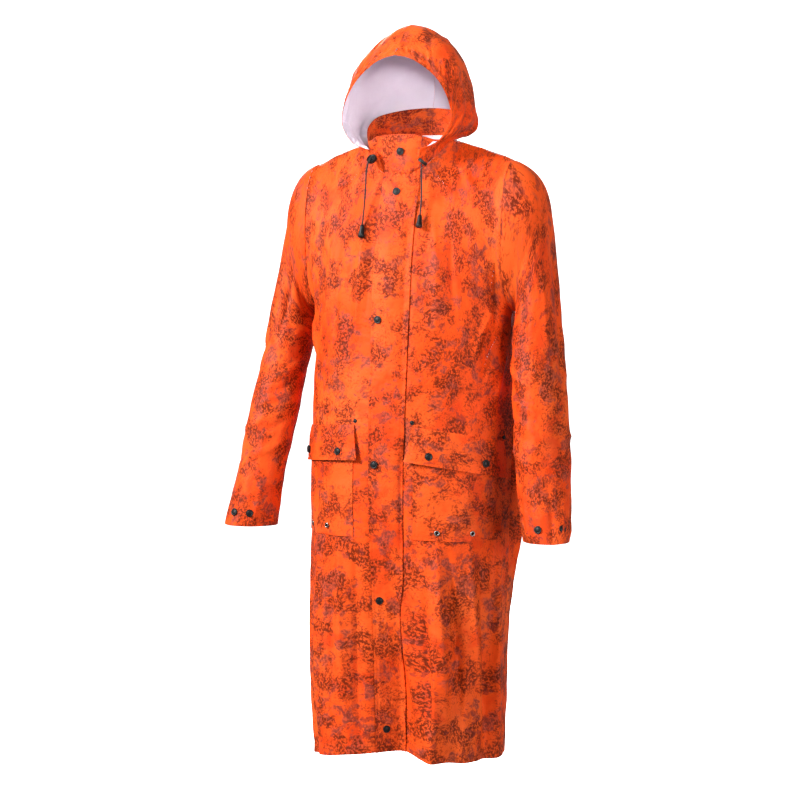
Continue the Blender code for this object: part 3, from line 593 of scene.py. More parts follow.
def stitches(node, *lines):
    """Rows of stitches along lines on a piece of cloth, as one mesh."""
    points, faces = [], []
    for line, up in lines:
        far = run_along(line)
        starts = np.arange(STITCH_END, far[-1] - STITCH_END, STITCH_PITCH)
        a, b = (np.stack([np.interp(starts + more, far, line[:, k]) for k in range(3)], -1)
                for more in (0.0, STITCH_LONG))
        over = unit(np.stack([np.interp(starts, far, up[:, k]) for k in range(3)], -1))
        aside = unit(np.cross(b - a, over)) * THREAD_HALF
        middle = (a + b) / 2 + over * THREAD_HALF * 0.4
        rows = np.stack([a, b, middle + over * THREAD_HALF, middle + aside,
                         middle - over * THREAD_HALF, middle - aside], 1)
        first = 6 * np.arange(len(rows))[:, None, None] + len(points)
        faces += (first + OCTAHEDRON).reshape(-1, 3).tolist()
        points += rows.reshape(-1, 3).tolist()
    made = put(node + "_stitches", mesh_of(node + "_stitches", points, faces, THREAD))
    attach(made, "root")
    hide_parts(node)


# Coated polyester, printed: a knit with a matt polyurethane face. Light spreads over
# it in broad soft highlights, and the print sits under the coat. The print is a
# speckled camouflage: drifts of fine brown specks, mauve smudges and pale bare places.
def printed_cloth(name):
    made, tree = new_material(name)

    def noise_of(size, detail, rough, vector, seed, stretch=(1.0, 1.0)):
        """Noise whose features are about size metres across."""
        moved = add_node(tree, "Mapping", {"Vector": vector, "Location": (seed, seed * 0.37, seed * 1.9),
                                           "Scale": (stretch[0] / size, stretch[1] / size, 1.0)})
        return add_node(tree, "TexNoise", {"Vector": moved.outputs[0], "Scale": 1.0, "Detail": detail,
                                           "Roughness": rough}).outputs["Fac"]

    def between(value, low, high):
        return add_node(tree, "MapRange", {"Value": value, "From Min": low, "From Max": high},
                        interpolation_type="SMOOTHSTEP").outputs[0]

    def times(a, b, operation="MULTIPLY"):
        return add_node(tree, "Math", {0: a, 1: b}, operation=operation).outputs[0]

    flat = add_node(tree, "UVMap", uv_map="cut_cloth").outputs[0]
    drift = add_node(tree, "TexNoise", {"Vector": flat, "Scale": 22.0, "Detail": 2.0}).outputs["Color"]
    pushed = add_node(tree, "VectorMath", {0: drift, "Scale": 0.024}, operation="SCALE").outputs[0]
    flat_moved = add_node(tree, "VectorMath", {0: flat, 1: pushed}, operation="ADD").outputs[0]

    drifts = noise_of(0.052, 4.0, 0.62, flat_moved, 3.1)
    dense = between(drifts, 0.484, 0.572)
    sparse = between(drifts, 0.404, 0.496)
    flecks = noise_of(0.0046, 2.0, 0.62, flat_moved, 5.3, (1.0, 0.8))
    specks = between(flecks, 0.475, 0.515)
    crumbs = between(noise_of(0.0042, 2.0, 0.6, flat_moved, 8.9), 0.540, 0.590)
    streaks = noise_of(0.024, 3.0, 0.6, flat_moved, 17.9, (1.0, 0.5))
    hairs = times(between(times(times(streaks, 0.5, "SUBTRACT"), 0.0, "ABSOLUTE"), 0.012, 0.002),
                  between(noise_of(0.060, 2.0, 0.5, flat_moved, 19.4), 0.46, 0.56))
    haze = between(noise_of(0.040, 3.0, 0.60, flat_moved, 23.3), 0.530, 0.630)
    blots = between(noise_of(0.020, 3.0, 0.60, flat_moved, 29.7), 0.600, 0.660)
    warm = between(noise_of(0.22, 1.0, 0.5, flat, 31.1), 0.35, 0.68)
    deep = between(noise_of(0.070, 3.0, 0.6, flat_moved, 41.3), 0.48, 0.66)

    base = blend(tree, warm, "#DD4713", "#DD551F")
    for share, dye in (
        (times(deep, 0.60), "#C9310C"),
        (times(haze, 0.52), "#8A4036"),
        (times(dense, 0.36), "#A93A1A"),
        (times(hairs, 0.60), "#7C280A"),
        (times(times(crumbs, sparse), 0.70), "#82290C"),
        (times(times(haze, specks), 0.60), "#5B2C26"),
        (times(times(specks, dense), 0.88), "#611E08"),
        (times(blots, 0.55), "#6E2823"),
    ):
        base = blend(tree, share, base, dye)

    soft = add_node(tree, "TexNoise", {"Vector": flat, "Scale": 160.0, "Detail": 3.0, "Roughness": 0.6})
    crumple = add_node(tree, "TexNoise", {"Vector": flat, "Scale": 34.0, "Detail": 3.0, "Roughness": 0.55})
    low = add_node(tree, "Bump", {"Height": crumple.outputs["Fac"], "Distance": 0.0060, "Strength": 0.5})
    fine = add_node(tree, "Bump", {"Height": soft.outputs["Fac"], "Distance": 0.0006, "Strength": 0.25,
                                   "Normal": low.outputs[0]})
    rough = add_node(tree, "MapRange", {"Value": soft.outputs["Fac"], "To Min": 0.50, "To Max": 0.64})
    finish_surface(tree, {"Base Color": base, "Roughness": rough.outputs[0], "Normal": fine.outputs[0],
                          "Specular IOR Level": 0.08})
    return made


# White knit backing of the coated cloth: fine ribs 1.2 mm apart, dull and soft.
def knit_backing(name):
    made, tree = new_material(name)
    flat = add_node(tree, "UVMap", uv_map="cut_cloth").outputs[0]
    ribs = add_node(tree, "TexWave", {"Vector": flat, "Scale": 265.0, "Distortion": 1.2, "Detail": 1.0},
                    bands_direction="X")
    cloudy = add_node(tree, "TexNoise", {"Vector": flat, "Scale": 30.0, "Detail": 3.0})
    bump = add_node(tree, "Bump", {"Height": ribs.outputs["Fac"], "Distance": 0.0003, "Strength": 0.4})
    finish_surface(tree, {"Base Color": blend(tree, cloudy.outputs["Fac"], "#DED1E0", "#E9E0EB"),
                          "Roughness": 0.85, "Normal": bump.outputs[0], "Sheen Weight": 0.2,
                          "Sheen Roughness": 0.4})
    return made


COATED = printed_cloth("coated_polyester_printed")
BACKING = knit_backing("white_knit_backing")

# ---- fronts, back and sleeves --------------------------------------------------------
# Coated cloth panels, sewn at the sides, over the shoulders and round the armholes,
# which draws small puckers along each seam. The folds below hang from the shoulders,
# the pockets and the closed flap. Places are in millimetres on the flat cloth: across
# from the centre front, + to the wearer's left, and up from the shoulders' level.
GIRTH_MM = 3.3          # cloth for each degree round the body
BODY_DRAPE = 2.5        # how many times deeper than in the table the body's folds hang
SLEEVE_DRAPE = {1: 1.35, -1: 1.2}
BODY_CREASES = [
    # x0    y0     x1    y1    bow  width depth
    # left front: from the neck and armhole, beside the flap, and down the skirt
    (24,    -86,   27,   -500,   3,  11, -2.6),
    (52,    -18,  112,    -72,   5,   8,  2.2),
    (78,    -12,  158,    -50,  -6,   9, -2.4),
    (120,   -20,  214,    -66,   8,  10,  2.0),
    (70,   -110,   80,   -360,  -7,  15,  2.6),
    (118,  -130,  126,   -330,   6,  13, -2.2),
    (168,  -195,  264,   -188,   5,   7, -2.2),
    (272,  -205,  244,   -335,   8,   9, -4.0),
    (246,  -290,  176,   -392,  12,  12,  3.6),
    (266,  -335,  196,   -440,  10,  11, -3.4),
    (280,  -380,  236,   -486,   8,  11,  3.0),
    (60,   -395,  150,   -450,  10,  12,  2.2),
    (33,   -520,   29,   -790,   4,   9, -3.6),
    (24,   -800,   68,  -1120,   4,  16,  5.6),
    (70,   -830,   93,  -1130,   5,  12, -5.6),
    (96,   -700,  128,  -1150,   4,  14,  5.0),
    (116,  -750,  158,  -1110,  -6,  12, -5.0),
    (168,  -720,  222,  -1160,   6,  15,  4.4),
    (198,  -780,  246,  -1165,  -6,  12, -4.4),
    (256,  -690,  276,  -1165,   5,  12,  4.2),
    # right front
    (-19,   -43,  -27,   -310,   3,   9, -3.0),
    (-44,   -50,  -54,   -390,  -4,  12,  2.6),
    (-60,   -20, -118,    -76,   6,   9,  2.2),
    (-92,   -14, -170,    -56,  -6,   9, -2.2),
    (-92,  -120, -100,   -360,   8,  14, -2.4),
    (-140, -150, -150,   -340,  -6,  13,  2.0),
    (-278, -176, -160,   -178,   6,   7, -2.2),
    (-272, -215, -246,   -330,  -8,   9, -3.6),
    (-250, -300, -180,   -395,  10,  12,  3.4),
    (-268, -345, -200,   -440, -10,  11, -3.2),
    (-60,  -400, -150,   -452, -10,  12,  2.2),
    (-46,  -740,  -40,  -1165,   4,  12, -5.0),
    (-82,  -700,  -62,  -1150,   5,  13,  4.2),
    (-110, -740,  -86,  -1160,   6,  12, -3.6),
    (-150, -690, -134,  -1165,   8,  14,  4.6),
    (-202, -730, -190,  -1170,  -9,  13, -4.4),
    (-254, -640, -250,  -1185,   6,  13,  4.0),
    # back
    (330,  -380,  350,   -900,  12,  17,  6.0),
    (372,  -620,  380,  -1160,   8,  13, -5.0),
    (410,  -540,  420,  -1165, -12,  15,  5.6),
    (470,  -330,  482,   -940,  10,  17, -4.6),
    (520,  -600,  512,  -1165,   8,  14,  5.2),
    (560,  -480,  556,  -1165,  10,  15, -5.2),
    (610,  -300,  604,   -960, -14,  16,  4.6),
    (656,  -560,  664,  -1165,  10,  14, -5.2),
    (700,  -640,  706,  -1165,  -8,  13,  5.0),
    (740,  -360,  728,   -980, -10,  16, -4.6),
    (790,  -560,  798,  -1165,  12,  15,  5.4),
    (846,  -380,  840,   -900, -10,  15, -4.8),
    (330,  -300,  420,   -400,  12,  13,  4.0),
    (318,  -350,  400,   -470, -12,  12, -3.6),
    (858,  -300,  770,   -400,  12,  13,  4.0),
    (870,  -350,  790,   -470, -12,  12, -3.6),
    (420,  -120,  560,   -190,  16,  14, -3.0),
    (450,  -170,  600,   -230, -14,  14,  2.8),
    (640,  -160,  770,   -120,  14,  14,  3.0),
    (600,  -230,  760,   -200,  12,  13, -2.6),
    (500,  -420,  690,   -450,  14,  17, -2.6),
    (480,   -60,  520,   -260, -10,  13,  2.4),
    (680,   -60,  660,   -280,  10,  13,  2.4),
]
SLEEVE_CREASES = [
    # across runs round the sleeve from the armpit over the front, up towards the shoulder
    (20,   -250,  120,   -318,  10,   9,  4.0),
    (30,   -300,  150,   -356,  10,   9, -4.4),
    (46,   -336,  190,   -402, -10,   9,  4.6),
    (20,   -368,  140,   -428,   8,   9, -4.4),
    (110,  -388,  236,   -424,  10,   9,  3.6),
    (40,   -430,  170,   -474,  10,   9,  4.4),
    (100,  -232,  230,   -300, -12,  11, -3.2),
    (120,  -458,  240,   -500,  -8,   9, -3.4),
    (160,   -80,  182,   -300,  10,  13,  3.6),
    (206,  -100,  212,   -340,  -8,  13, -3.4),
    (96,    -50,  112,   -240,   8,  11, -3.0),
    (130,   -40,  140,   -180,  -6,  10,  2.4),
    (250,  -300,  384,   -350, -10,  10,  4.4),
    (268,  -352,  404,   -396,  10,   9, -4.4),
    (236,  -414,  384,   -458, -10,  10,  4.0),
    (280,  -470,  396,   -500,   8,   9, -3.4),
    (300,   -90,  322,   -300, -10,  13,  3.4),
    (366,   -80,  384,   -280,   8,  12, -3.2),
    (110,  -510,  140,   -705,   8,  10,  3.2),
    (180,  -500,  190,   -700,  -8,  10, -3.4),
    (40,   -510,   62,   -700,   6,   9,  2.8),
    (232,  -520,  226,   -700,   6,   9,  2.6),
    (290,  -505,  280,   -705,   8,  10,  3.0),
    (360,  -520,  350,   -700,  -6,   9, -3.0),
]
# the rows close to the skirt's top end are left out, because the yoke goes on from there
skirt_steps = steps(SKIRT_ROWS, 10, (0.02, 0.06))[:-3]
front_rows = np.unique(np.round(np.concatenate([skirt_steps, SKIRT_ROWS + steps(YOKE_ROWS, 8)]), 5))
front_columns = steps(len(FRONT_TURNS) - 1, 8, (0.04, 0.1, 0.2))
back_columns = steps(2 * (len(BACK_TURNS) - 1), 8, (0.04, 0.1, 0.2))
sleeve_rows = steps(SLEEVE_ROWS, 8, (0.03, 0.08))
sleeve_columns = np.arange(SLEEVE_COLUMNS * 8) / 8


def distance_to_edges(grid, edges):
    """How far each point of a grid is from the nearest of some of its edges."""
    up, across = run_along(grid), run_along(grid.transpose(1, 0, 2)).T
    ways = {"foot": up, "top": up[-1:] - up, "first": across, "last": across[:, -1:] - across}
    return {name: ways[name] for name in edges}


HEM_TURN = 0.022


def body_heights(turns, z, grid, edges, seed):
    """Folds, slow waves and seam puckers of a body panel."""
    across = turns * GIRTH_MM / 1000
    total = creases(across, z, BODY_CREASES) * BODY_DRAPE
    total += 0.0034 * uneven(across, z * 0.5, 0.090, 2.0) + 0.0016 * uneven(across, z * 0.8, 0.036, 9.0)
    total *= 0.5 + 0.5 * ramp((z - grid[0, :, 2]) / 0.02)
    for i, (name, far) in enumerate(distance_to_edges(grid, edges).items()):
        along = z if name in ("first", "last") else across
        total += pucker(along, far, seed + i)
    return total - 0.0004 * hump(z - grid[0, :, 2] - HEM_TURN, 0.0025)


front_fine = {}
front_turns_at = np.interp(front_columns, range(len(FRONT_TURNS)), FRONT_TURNS)
for side in (1, -1):
    grid = finer(panel_grid(side, FRONT_TURNS, False), front_rows, front_columns)
    out = normals_of(grid) * side
    turns = np.broadcast_to(front_turns_at * side, grid.shape[:2])
    grid = grid + out * body_heights(turns, grid[..., 2], grid, ("last", "top"), 3.0 + side)[..., None]
    grid[:, 0, 0] = side * SEAM / 2
    front_fine[side] = grid
half_backs = {s: panel_grid(s, BACK_TURNS, True) for s in (1, -1)}
back_form = np.concatenate([half_backs[1][:, :0:-1], half_backs[-1]], axis=1)
back_turns = [180 - t for t in BACK_TURNS[:0:-1]] + [180 + t for t in BACK_TURNS]
back_turns_at = np.interp(back_columns, range(len(back_turns)), back_turns)
back_fine = finer(back_form, front_rows, back_columns)
back_out = normals_of(back_fine)
turns = np.broadcast_to(back_turns_at, back_fine.shape[:2])
heights = body_heights(turns, back_fine[..., 2], back_fine, ("first", "last", "top"), 8.0)
back_fine = back_fine + back_out * heights[..., None]
# the two sides of each seam meet in one line
for side in (1, -1):
    edge = 0 if side == 1 else -1
    skirt = front_rows <= SKIRT_ROWS
    met = (front_fine[side][skirt, -1] + back_fine[skirt, edge]) / 2
    front_fine[side][skirt, -1] = met
    back_fine[skirt, edge] = met
# each panel's grid and turns, the place of its cut on the printed cloth, and its cut's width
panels = {
    "front_left": (front_fine[1], front_turns_at, 0.4, 0.33),
    "front_right": (front_fine[-1], -front_turns_at, 2.9, 0.33),
    "back": (back_fine, back_turns_at, 5.1, 0.62),
}
for name, (grid, turns_at, shift, wide) in panels.items():
    out = normals_of(grid) * (-1 if name == "front_right" else 1)
    turns = np.broadcast_to(turns_at, grid.shape[:2])
    flat = np.stack([turns * GIRTH_MM / 1000 + shift, grid[..., 2] + shift], -1)
    piece = cloth_piece(name, grid, out, CLOTH, flat, [COATED, BACKING])
    yoke = front_rows >= SKIRT_ROWS
    rows = [inset_line(grid, out, 0, HEM_TURN), inset_line(grid[yoke], out[yoke], 1, 0.005, last=True)]
    if name == "back":
        rows.append(inset_line(grid[yoke], out[yoke], 1, 0.005))
    stitches(name, *rows)

SLEEVE_GIRTH, CUFF_TURN = 0.42, 0.024
for side, name in ((1, "sleeve_left"), (-1, "sleeve_right")):
    rings = [sleeve_ring(r / SLEEVE_ROWS, SLEEVE_COLUMNS) for r in range(SLEEVE_ROWS + 1)]
    rings = np.array(rings) * np.array([side, 1.0, 1.0])
    grid = finer(rings, sleeve_rows, sleeve_columns, wrap=True)
    out = normals_of(grid, wrap=True) * -side
    round_it = np.broadcast_to(sleeve_columns / SLEEVE_COLUMNS * SLEEVE_GIRTH, grid.shape[:2])
    along = run_along(grid.mean(axis=1))
    down = np.broadcast_to(along[:, None], grid.shape[:2])
    left = along[-1] - down
    height = creases(round_it, -down, SLEEVE_CREASES) * SLEEVE_DRAPE[side]
    height += 0.0026 * uneven(round_it, down * 0.7, 0.060, 4.0 + side)
    height += 0.0013 * uneven(round_it, down, 0.028, 14.0 + side)
    # under the arm the sleeve swells to rest against the body
    height += 0.0040 * hump(down - 0.17, 0.07) * np.maximum(out[..., 0] * -side, 0.0) ** 2
    height *= ramp(down / 0.03) * ramp(left / 0.03 + 0.35)
    height += pucker(round_it, down, 6.0 + side) - 0.0004 * hump(left - CUFF_TURN, 0.0025)
    grid = grid + out * height[..., None]
    # the top ring meets the armhole
    edge = 0 if side == 1 else -1
    yoke = np.flatnonzero(front_rows >= SKIRT_ROWS - 1e-6)
    ring = np.concatenate([front_fine[side][yoke, -1], back_fine[yoke[-2:0:-1], edge]])
    grid[0] = ring
    out = normals_of(grid, wrap=True) * -side
    flat = np.stack([round_it + (7.3 if side == 1 else 9.9), -down + 1.1], -1)
    piece = cloth_piece(name, grid, out, CLOTH, flat, [COATED, BACKING], wrap=SLEEVE_GIRTH)
    closed = [np.concatenate([values, values[:, :1]], axis=1) for values in (grid, out)]
    stitches(name, inset_line(*closed, 0, CUFF_TURN, last=True))

# ---- collar --------------------------------------------------------------------------
# A doubled stand, printed on both sides, that holds the hood off the neck. Its top
# edge is turned and stitched, and it sags a little towards each side.
COLLAR_WIDTH = 0.101
COLLAR_DEPTH = 0.076
COLLAR_TOP = 0.075
COLLAR_RISE = 0.030
COLLAR_DIP = 0.026      # the top edge sags this much before each side
COLLAR_ROWS = 5
COLLAR_FLAT = 0.075     # its height as a flat piece


def collar_column(angle, side):
    """A column of the collar, from the neck opening up."""
    low = neck_point(angle) + np.array([0.0, 0.0, SEAM])
    s, c = math.sin(math.radians(angle)), math.cos(math.radians(angle))
    high = np.array([
        COLLAR_WIDTH * s,
        NECK_Y - 0.004 - COLLAR_DEPTH * c,
        COLLAR_TOP - COLLAR_RISE * c,
    ])
    sag = COLLAR_DIP * math.exp(-(((angle - 62.0) / 30.0) ** 2))
    high = low + (high - low) * (1.0 - sag / (high[2] - low[2]))
    column = [low + (high - low) * v for v in np.linspace(0.0, 1.0, COLLAR_ROWS + 1)]
    return np.array(column) * np.array([side, 1.0, 1.0])


def collar_angles():
    """Angles round the neck opening, at the columns of the front and back panels."""
    front = [90.0 * t / NECK_TURN for t in FRONT_TURNS if t <= NECK_TURN]
    back = [180.0 - 90.0 * t / NECK_TURN for t in BACK_TURNS if t <= NECK_TURN]
    return front + back[-2::-1]


collar_columns = [collar_column(a, 1) for a in collar_angles()]
collar_columns += [collar_column(a, -1) for a in collar_angles()][-2::-1]
collar_form = np.array(collar_columns).transpose(1, 0, 2)
collar_at = steps(collar_form.shape[1] - 1, 8)
collar_grid = finer(collar_form, steps(COLLAR_ROWS, 6, (0.1,)), collar_at)
collar_run = run_along(collar_grid[-1])
collar_across = np.broadcast_to(collar_run, collar_grid.shape[:2])
collar_up = np.linspace(0.0, COLLAR_FLAT, collar_grid.shape[0])[:, None] * np.ones_like(collar_across)
height = 0.0016 * uneven(collar_across, collar_up, 0.032, 21.0)
height += 0.0009 * uneven(collar_across, collar_up, 0.014, 22.0)
height *= np.sin(np.pi * np.clip(collar_up / COLLAR_FLAT, 0.05, 0.9))
height *= ramp(np.minimum(collar_across, collar_run[-1] - collar_across) / 0.07 - 0.4)
collar_grid = collar_grid + normals_of(collar_grid) * height[..., None]
collar_grid[:, 0, 0], collar_grid[:, -1, 0] = SEAM / 2, -SEAM / 2
flat = np.stack([collar_across + 12.6, collar_up + 0.3], -1)
out = normals_of(collar_grid)
piece = cloth_piece("collar", collar_grid, out, DOUBLE, flat, [COATED])
stitches("collar", inset_line(collar_grid, out, 0, 0.006, last=True), inset_line(collar_grid, out, 0, 0.005))

# ---- hood ----------------------------------------------------------------------------
# Two halves of coated cloth, seamed over the head. The edge round the face is turned
# back over the drawcord and stitched as a tunnel, which the cord gathers into puckers.
HOOD_ENDS = {1: 31.0, -1: 21.0}   # neck angles at which the two halves begin
HOOD_ROWS, HOOD_COLUMNS = 12, 12
HOOD_DRAPE = 1.5                  # how many times deeper than in the table its folds are
TUNNEL = 0.020                    # from the face edge to the tunnel's stitches
HOOD = table(
    "place neck  part_x part_y  part_z low_x  low_y  low_z  wide_x wide_y  wide_z"
    " high_x high_y  high_z top_y   top_z", [
    (0.00,  21, -0.016, -0.006, 0.011, 0.087, -0.073, 0.025, 0.117, -0.070, 0.070,
     0.086, -0.070, 0.150, -0.076, 0.197),
    (0.30,  76,  0.000, 0.000, 0.000, 0.111, -0.016, 0.047, 0.122, -0.010, 0.108,
     0.097, -0.012, 0.196, -0.010, 0.258),
    (0.60, 118,  0.000, 0.000, 0.000, 0.113,  0.056, 0.054, 0.112,  0.060, 0.130,
     0.074,  0.062, 0.212, 0.054, 0.260),
    (0.84, 152,  0.000, 0.000, 0.000, 0.056,  0.096, 0.078, 0.066,  0.110, 0.132,
     0.044,  0.108, 0.190, 0.092, 0.236),
    (1.00, 180,  0.000, 0.000, 0.000, 0.000,  0.106, 0.082, 0.000,  0.123, 0.130,
     0.000,  0.122, 0.178, 0.108, 0.212),
])


def hood_column(place, side):
    """A column of half the hood, from the neck opening to the centre seam."""
    row = smooth_row(HOOD, "place", place)
    first = HOOD_ENDS[side]
    angle = first + (row["neck"] - HOOD["neck"][0]) * (180.0 - first) / (180.0 - HOOD["neck"][0])
    s, c = math.sin(math.radians(angle)), math.cos(math.radians(angle))
    lift = np.array([s, -c, 0.0]) * (CLOTH + 2.7 * SEAM) + np.array([0.0, 0.0, (1 + 2.7 * s * s) * SEAM])
    neck = neck_point(angle) + lift
    low = np.array([row["low_x"], row["low_y"], row["low_z"]])
    part = np.array([row["part_x"], row["part_y"], row["part_z"]])
    points = np.array([
        neck,
        (neck + low) / 2 + part,
        low,
        [row["wide_x"], row["wide_y"], row["wide_z"]],
        [row["high_x"], row["high_y"], row["high_z"]],
        [0.0, row["top_y"], row["top_z"]],
    ])
    beyond = points[-2] * np.array([-1.0, 1.0, 1.0])
    before = points[0] * 2 - points[1]
    run = np.concatenate([[before], points, [beyond]])
    gaps = np.linalg.norm(np.diff(run, axis=0), axis=1) ** 0.6
    at = np.concatenate([[0.0], np.cumsum(gaps)])
    levels = np.linspace(at[1], at[-2], HOOD_ROWS + 1)
    column = np.array([[smooth(t, at, run[:, k]) for k in range(3)] for t in levels])
    column[-1, 0] = 0.0
    return column * np.array([side, 1.0, 1.0])


HOOD_CREASES = [
    # across from the face edge to the centre back, up from the neck
    (10,   60,   90,   90,  10,  9,  2.4),
    (20,  110,  120,  128, -10, 10, -2.4),
    (15,  160,  110,  190,  10, 11,  2.2),
    (60,   20,  150,   70,  12, 10, -3.0),
    (120,  10,  190,   80, -10, 11,  3.0),
    (150, 100,  240,  130,  10, 14, -2.6),
    (90,  200,  200,  250, -14, 14,  2.6),
    (190, 180,  270,  230,  10, 14, -2.4),
    (210,  20,  280,   70,  10, 12,  2.6),
    (40,  235,  130,  290,   8, 12, -2.0),
]
for side, name in ((1, "hood_left"), (-1, "hood_right")):
    columns = [hood_column(place, side) for place in np.linspace(0.0, 1.0, HOOD_COLUMNS + 1)]
    form = np.array(columns).transpose(1, 0, 2)
    form[:, -1, 0] = 0.0
    grid = finer(form, steps(HOOD_ROWS, 8, (0.05,)), steps(HOOD_COLUMNS, 8, (0.05, 0.12)))
    # along the middle seam the cloth faces straight back or up
    out = normals_of(grid) * side
    out[-1, :, 0] = 0.0
    out[:, -1, 0] = 0.0
    out[np.isclose(np.linalg.norm(out, axis=-1), 0.0)] = (0.0, 0.6, 0.8)
    out = unit(out)
    across, up = run_along(grid.transpose(1, 0, 2)).T, run_along(grid)
    height = creases(across, up, HOOD_CREASES) * HOOD_DRAPE
    height += 0.0020 * uneven(across, up, 0.045, 31.0 + side)
    height += 0.0010 * uneven(across, up, 0.020, 35.0 + side)
    height *= ramp(up / 0.02) * ramp((up[-1:] - up) / 0.02) * np.clip(across / 0.012, 0.2, 1.0)
    height *= ramp((across[:, -1:] - across) / 0.02)
    # the tunnel: a soft roll behind the face edge, gathered along its stitches
    above_neck = ramp(up / 0.03)
    height += 0.0016 * np.sin(np.pi * ramp(across / 0.019)) * above_neck
    wander = 0.8 * uneven(up, across * 0.2, 0.04, 41.0 + side)
    height += 0.0022 * hump(across - TUNNEL, 0.010) * above_neck * np.sin(2 * np.pi * (up / 0.017 + wander))
    height -= 0.0012 * hump(across - TUNNEL, 0.0022) * above_neck
    grid = grid + out * height[..., None]
    grid[-1, :, 0] = side * SEAM / 2
    grid[:, -1, 0] = side * SEAM / 2
    flat = np.stack([across + (15.2 if side == 1 else 17.7), up + 0.2], -1)
    piece = cloth_piece(name, grid, out, CLOTH, flat, [COATED, BACKING])
    stitches(name, inset_line(grid, out, 1, TUNNEL), inset_line(grid, out, 0, 0.005, last=True),
             inset_line(grid, out, 1, 0.005, last=True))

# ---- storm flap ----------------------------------------------------------------------
# Two layers of cloth over the closed slide fastener, sewn down on the wearer's left
# and held by snaps on the right. Both long edges are stitched 6 mm in.
FLAP_FREE, FLAP_SEWN = 2, 3       # which turns of the fronts its two edges follow
FLAP_TOP_IN = 0.002               # how far its top is below the collar's
EDGE_STITCH = 0.006
FLAP_CREASES = [
    (10, -180, 60,  -240,  6, 9,  1.6),
    (20, -420, 66,  -470, -6, 9, -1.4),
    (8,  -520, 50,  -560,  6, 8,  1.4),
    (30, -700, 34, -1000,  5, 9,  1.8),
    (54, -760, 50, -1100, -5, 8, -1.6),
    (16, -800, 14, -1150,  4, 7,  1.4),
    (12,  -40, 62,   -80,  6, 8,  1.4),
    (60,  -20, 20,    20,  5, 7, -1.2),
]
flap_turns = {1: FRONT_TURNS[FLAP_SEWN], -1: FRONT_TURNS[FLAP_FREE]}
flap_columns, flap_outs = [], []
for side in (-1, 1):                 # from the free edge to the sewn one
    outs = normals_of(front_fine[side]) * side
    chosen = [c for c, turn in enumerate(front_turns_at) if turn <= flap_turns[side] + 1e-6]
    for c in chosen[:0:-1] if side == -1 else chosen:
        below, out = front_fine[side][:, c], outs[:, c]
        if c == 0:
            out = unit(out * np.array([0.0, 1.0, 1.0]))
        angle = 90.0 * front_turns_at[c] / NECK_TURN
        up = through(collar_column(angle, side), steps(COLLAR_ROWS, 5)[1:])
        up[-1, 2] -= FLAP_TOP_IN
        lean = np.repeat(out[-1:] * np.array([1.0, 1.0, 0.0]), len(up), axis=0)
        flap_columns.append(np.concatenate([below, up]))
        flap_outs.append(np.concatenate([out, unit(lean)]))
out = unit(np.array(flap_outs).transpose(1, 0, 2))
flap_grid = np.array(flap_columns).transpose(1, 0, 2) + out * (4 * SEAM + DOUBLE)
away = distance_to_edges(flap_grid, ("first", "last", "foot"))
across = away["first"]
up = flap_grid[..., 2]
height = 0.0012 * uneven(across, up, 0.06, 51.0) + 0.0006 * uneven(across, up, 0.022, 52.0)
height += creases(across, up, FLAP_CREASES)
for far in (away["first"], away["last"]):
    height -= 0.0007 * hump(far - EDGE_STITCH, 0.0016)
    wander = uneven(up, far * 0.1, 0.06, 53.0)
    height += 0.00045 * np.sin(2 * np.pi * (up / 0.014 + wander)) * np.exp(-far / 0.014)
height = np.maximum(height, -0.0012)
flap_grid = flap_grid + out * height[..., None]
flat = np.stack([across + 20.4, up + 0.7], -1)
piece = cloth_piece("storm_flap", flap_grid, out, DOUBLE, flat, [COATED])
stitches("storm_flap", inset_line(flap_grid, out, 1, EDGE_STITCH),
         inset_line(flap_grid, out, 1, EDGE_STITCH, last=True),
         inset_line(flap_grid, out, 0, EDGE_STITCH, last=True))

# ---- pockets -------------------------------------------------------------------------
# Patch pockets of one layer under doubled flaps; the edges are turned in and stitched.
POCKET_GAP = 0.0005               # between the body and what is sewn on it
POCKET_TURNS = (15.0, 79.0)       # its front and side edges, round the body
POCKET_FOOT = (-0.742, -0.746)    # level of its foot at those edges
POCKET_MOUTH = (-0.552, -0.572)
POCKET_PUFF = 0.0022              # how far its middle stands out
LID_TURNS = (14.0, 80.0)
LID_TOP = (-0.522, -0.546)
LID_FOOT = (-0.590, -0.618)
LID_LIFT = 0.0050                 # how far the foot of the pocket flap stands off
LID_TILT = (-0.008, 0.012)        # rise of its side end, on the wearer's left and right
LID_SLANT = -2.5                  # turn of its front edge's foot


def bag_away(u, v):
    """How far the bag's outside is off the body; u runs across and v up."""
    across = math.sin(math.pi * min(max(u, 0.0), 1.0)) ** 0.5
    return POCKET_GAP + CLOTH + POCKET_PUFF * across * math.sin(math.pi * (0.08 + 0.62 * v))


def lid_away(u, v):
    """How far the flap's outside is off the body: sewn flat above, lifted below."""
    over_bag = 0.0043 * min(1.0, (1.0 - v) / 0.3)
    hang = (1 - v) ** 1.5 * (0.55 + 0.45 * (2 * u - 1) ** 2)
    return POCKET_GAP + DOUBLE + over_bag + LID_LIFT * hang


POCKET_CREASES = [
    (40,  165,  62, 70,  8, 7, 1.8),
    (110, 180,  96, 60, -8, 9, 1.6),
    (160, 150, 175, 40,  6, 8, 1.4),
    (20,   60, 120, 30,  8, 8, 1.2),
]
LID_CREASES = [
    (30,  60,  50, 4, 4, 7,  1.4),
    (150, 62, 140, 2, 4, 8, -1.2),
]
# where each kind of piece lies on the front, its distance from it, and its cut
POCKETS = {
    "pocket": (POCKET_TURNS, POCKET_MOUTH, POCKET_FOOT, bag_away, (0.205, 0.195)),
    "pocket_flap": (LID_TURNS, LID_TOP, LID_FOOT, lid_away, (0.215, 0.072)),
}


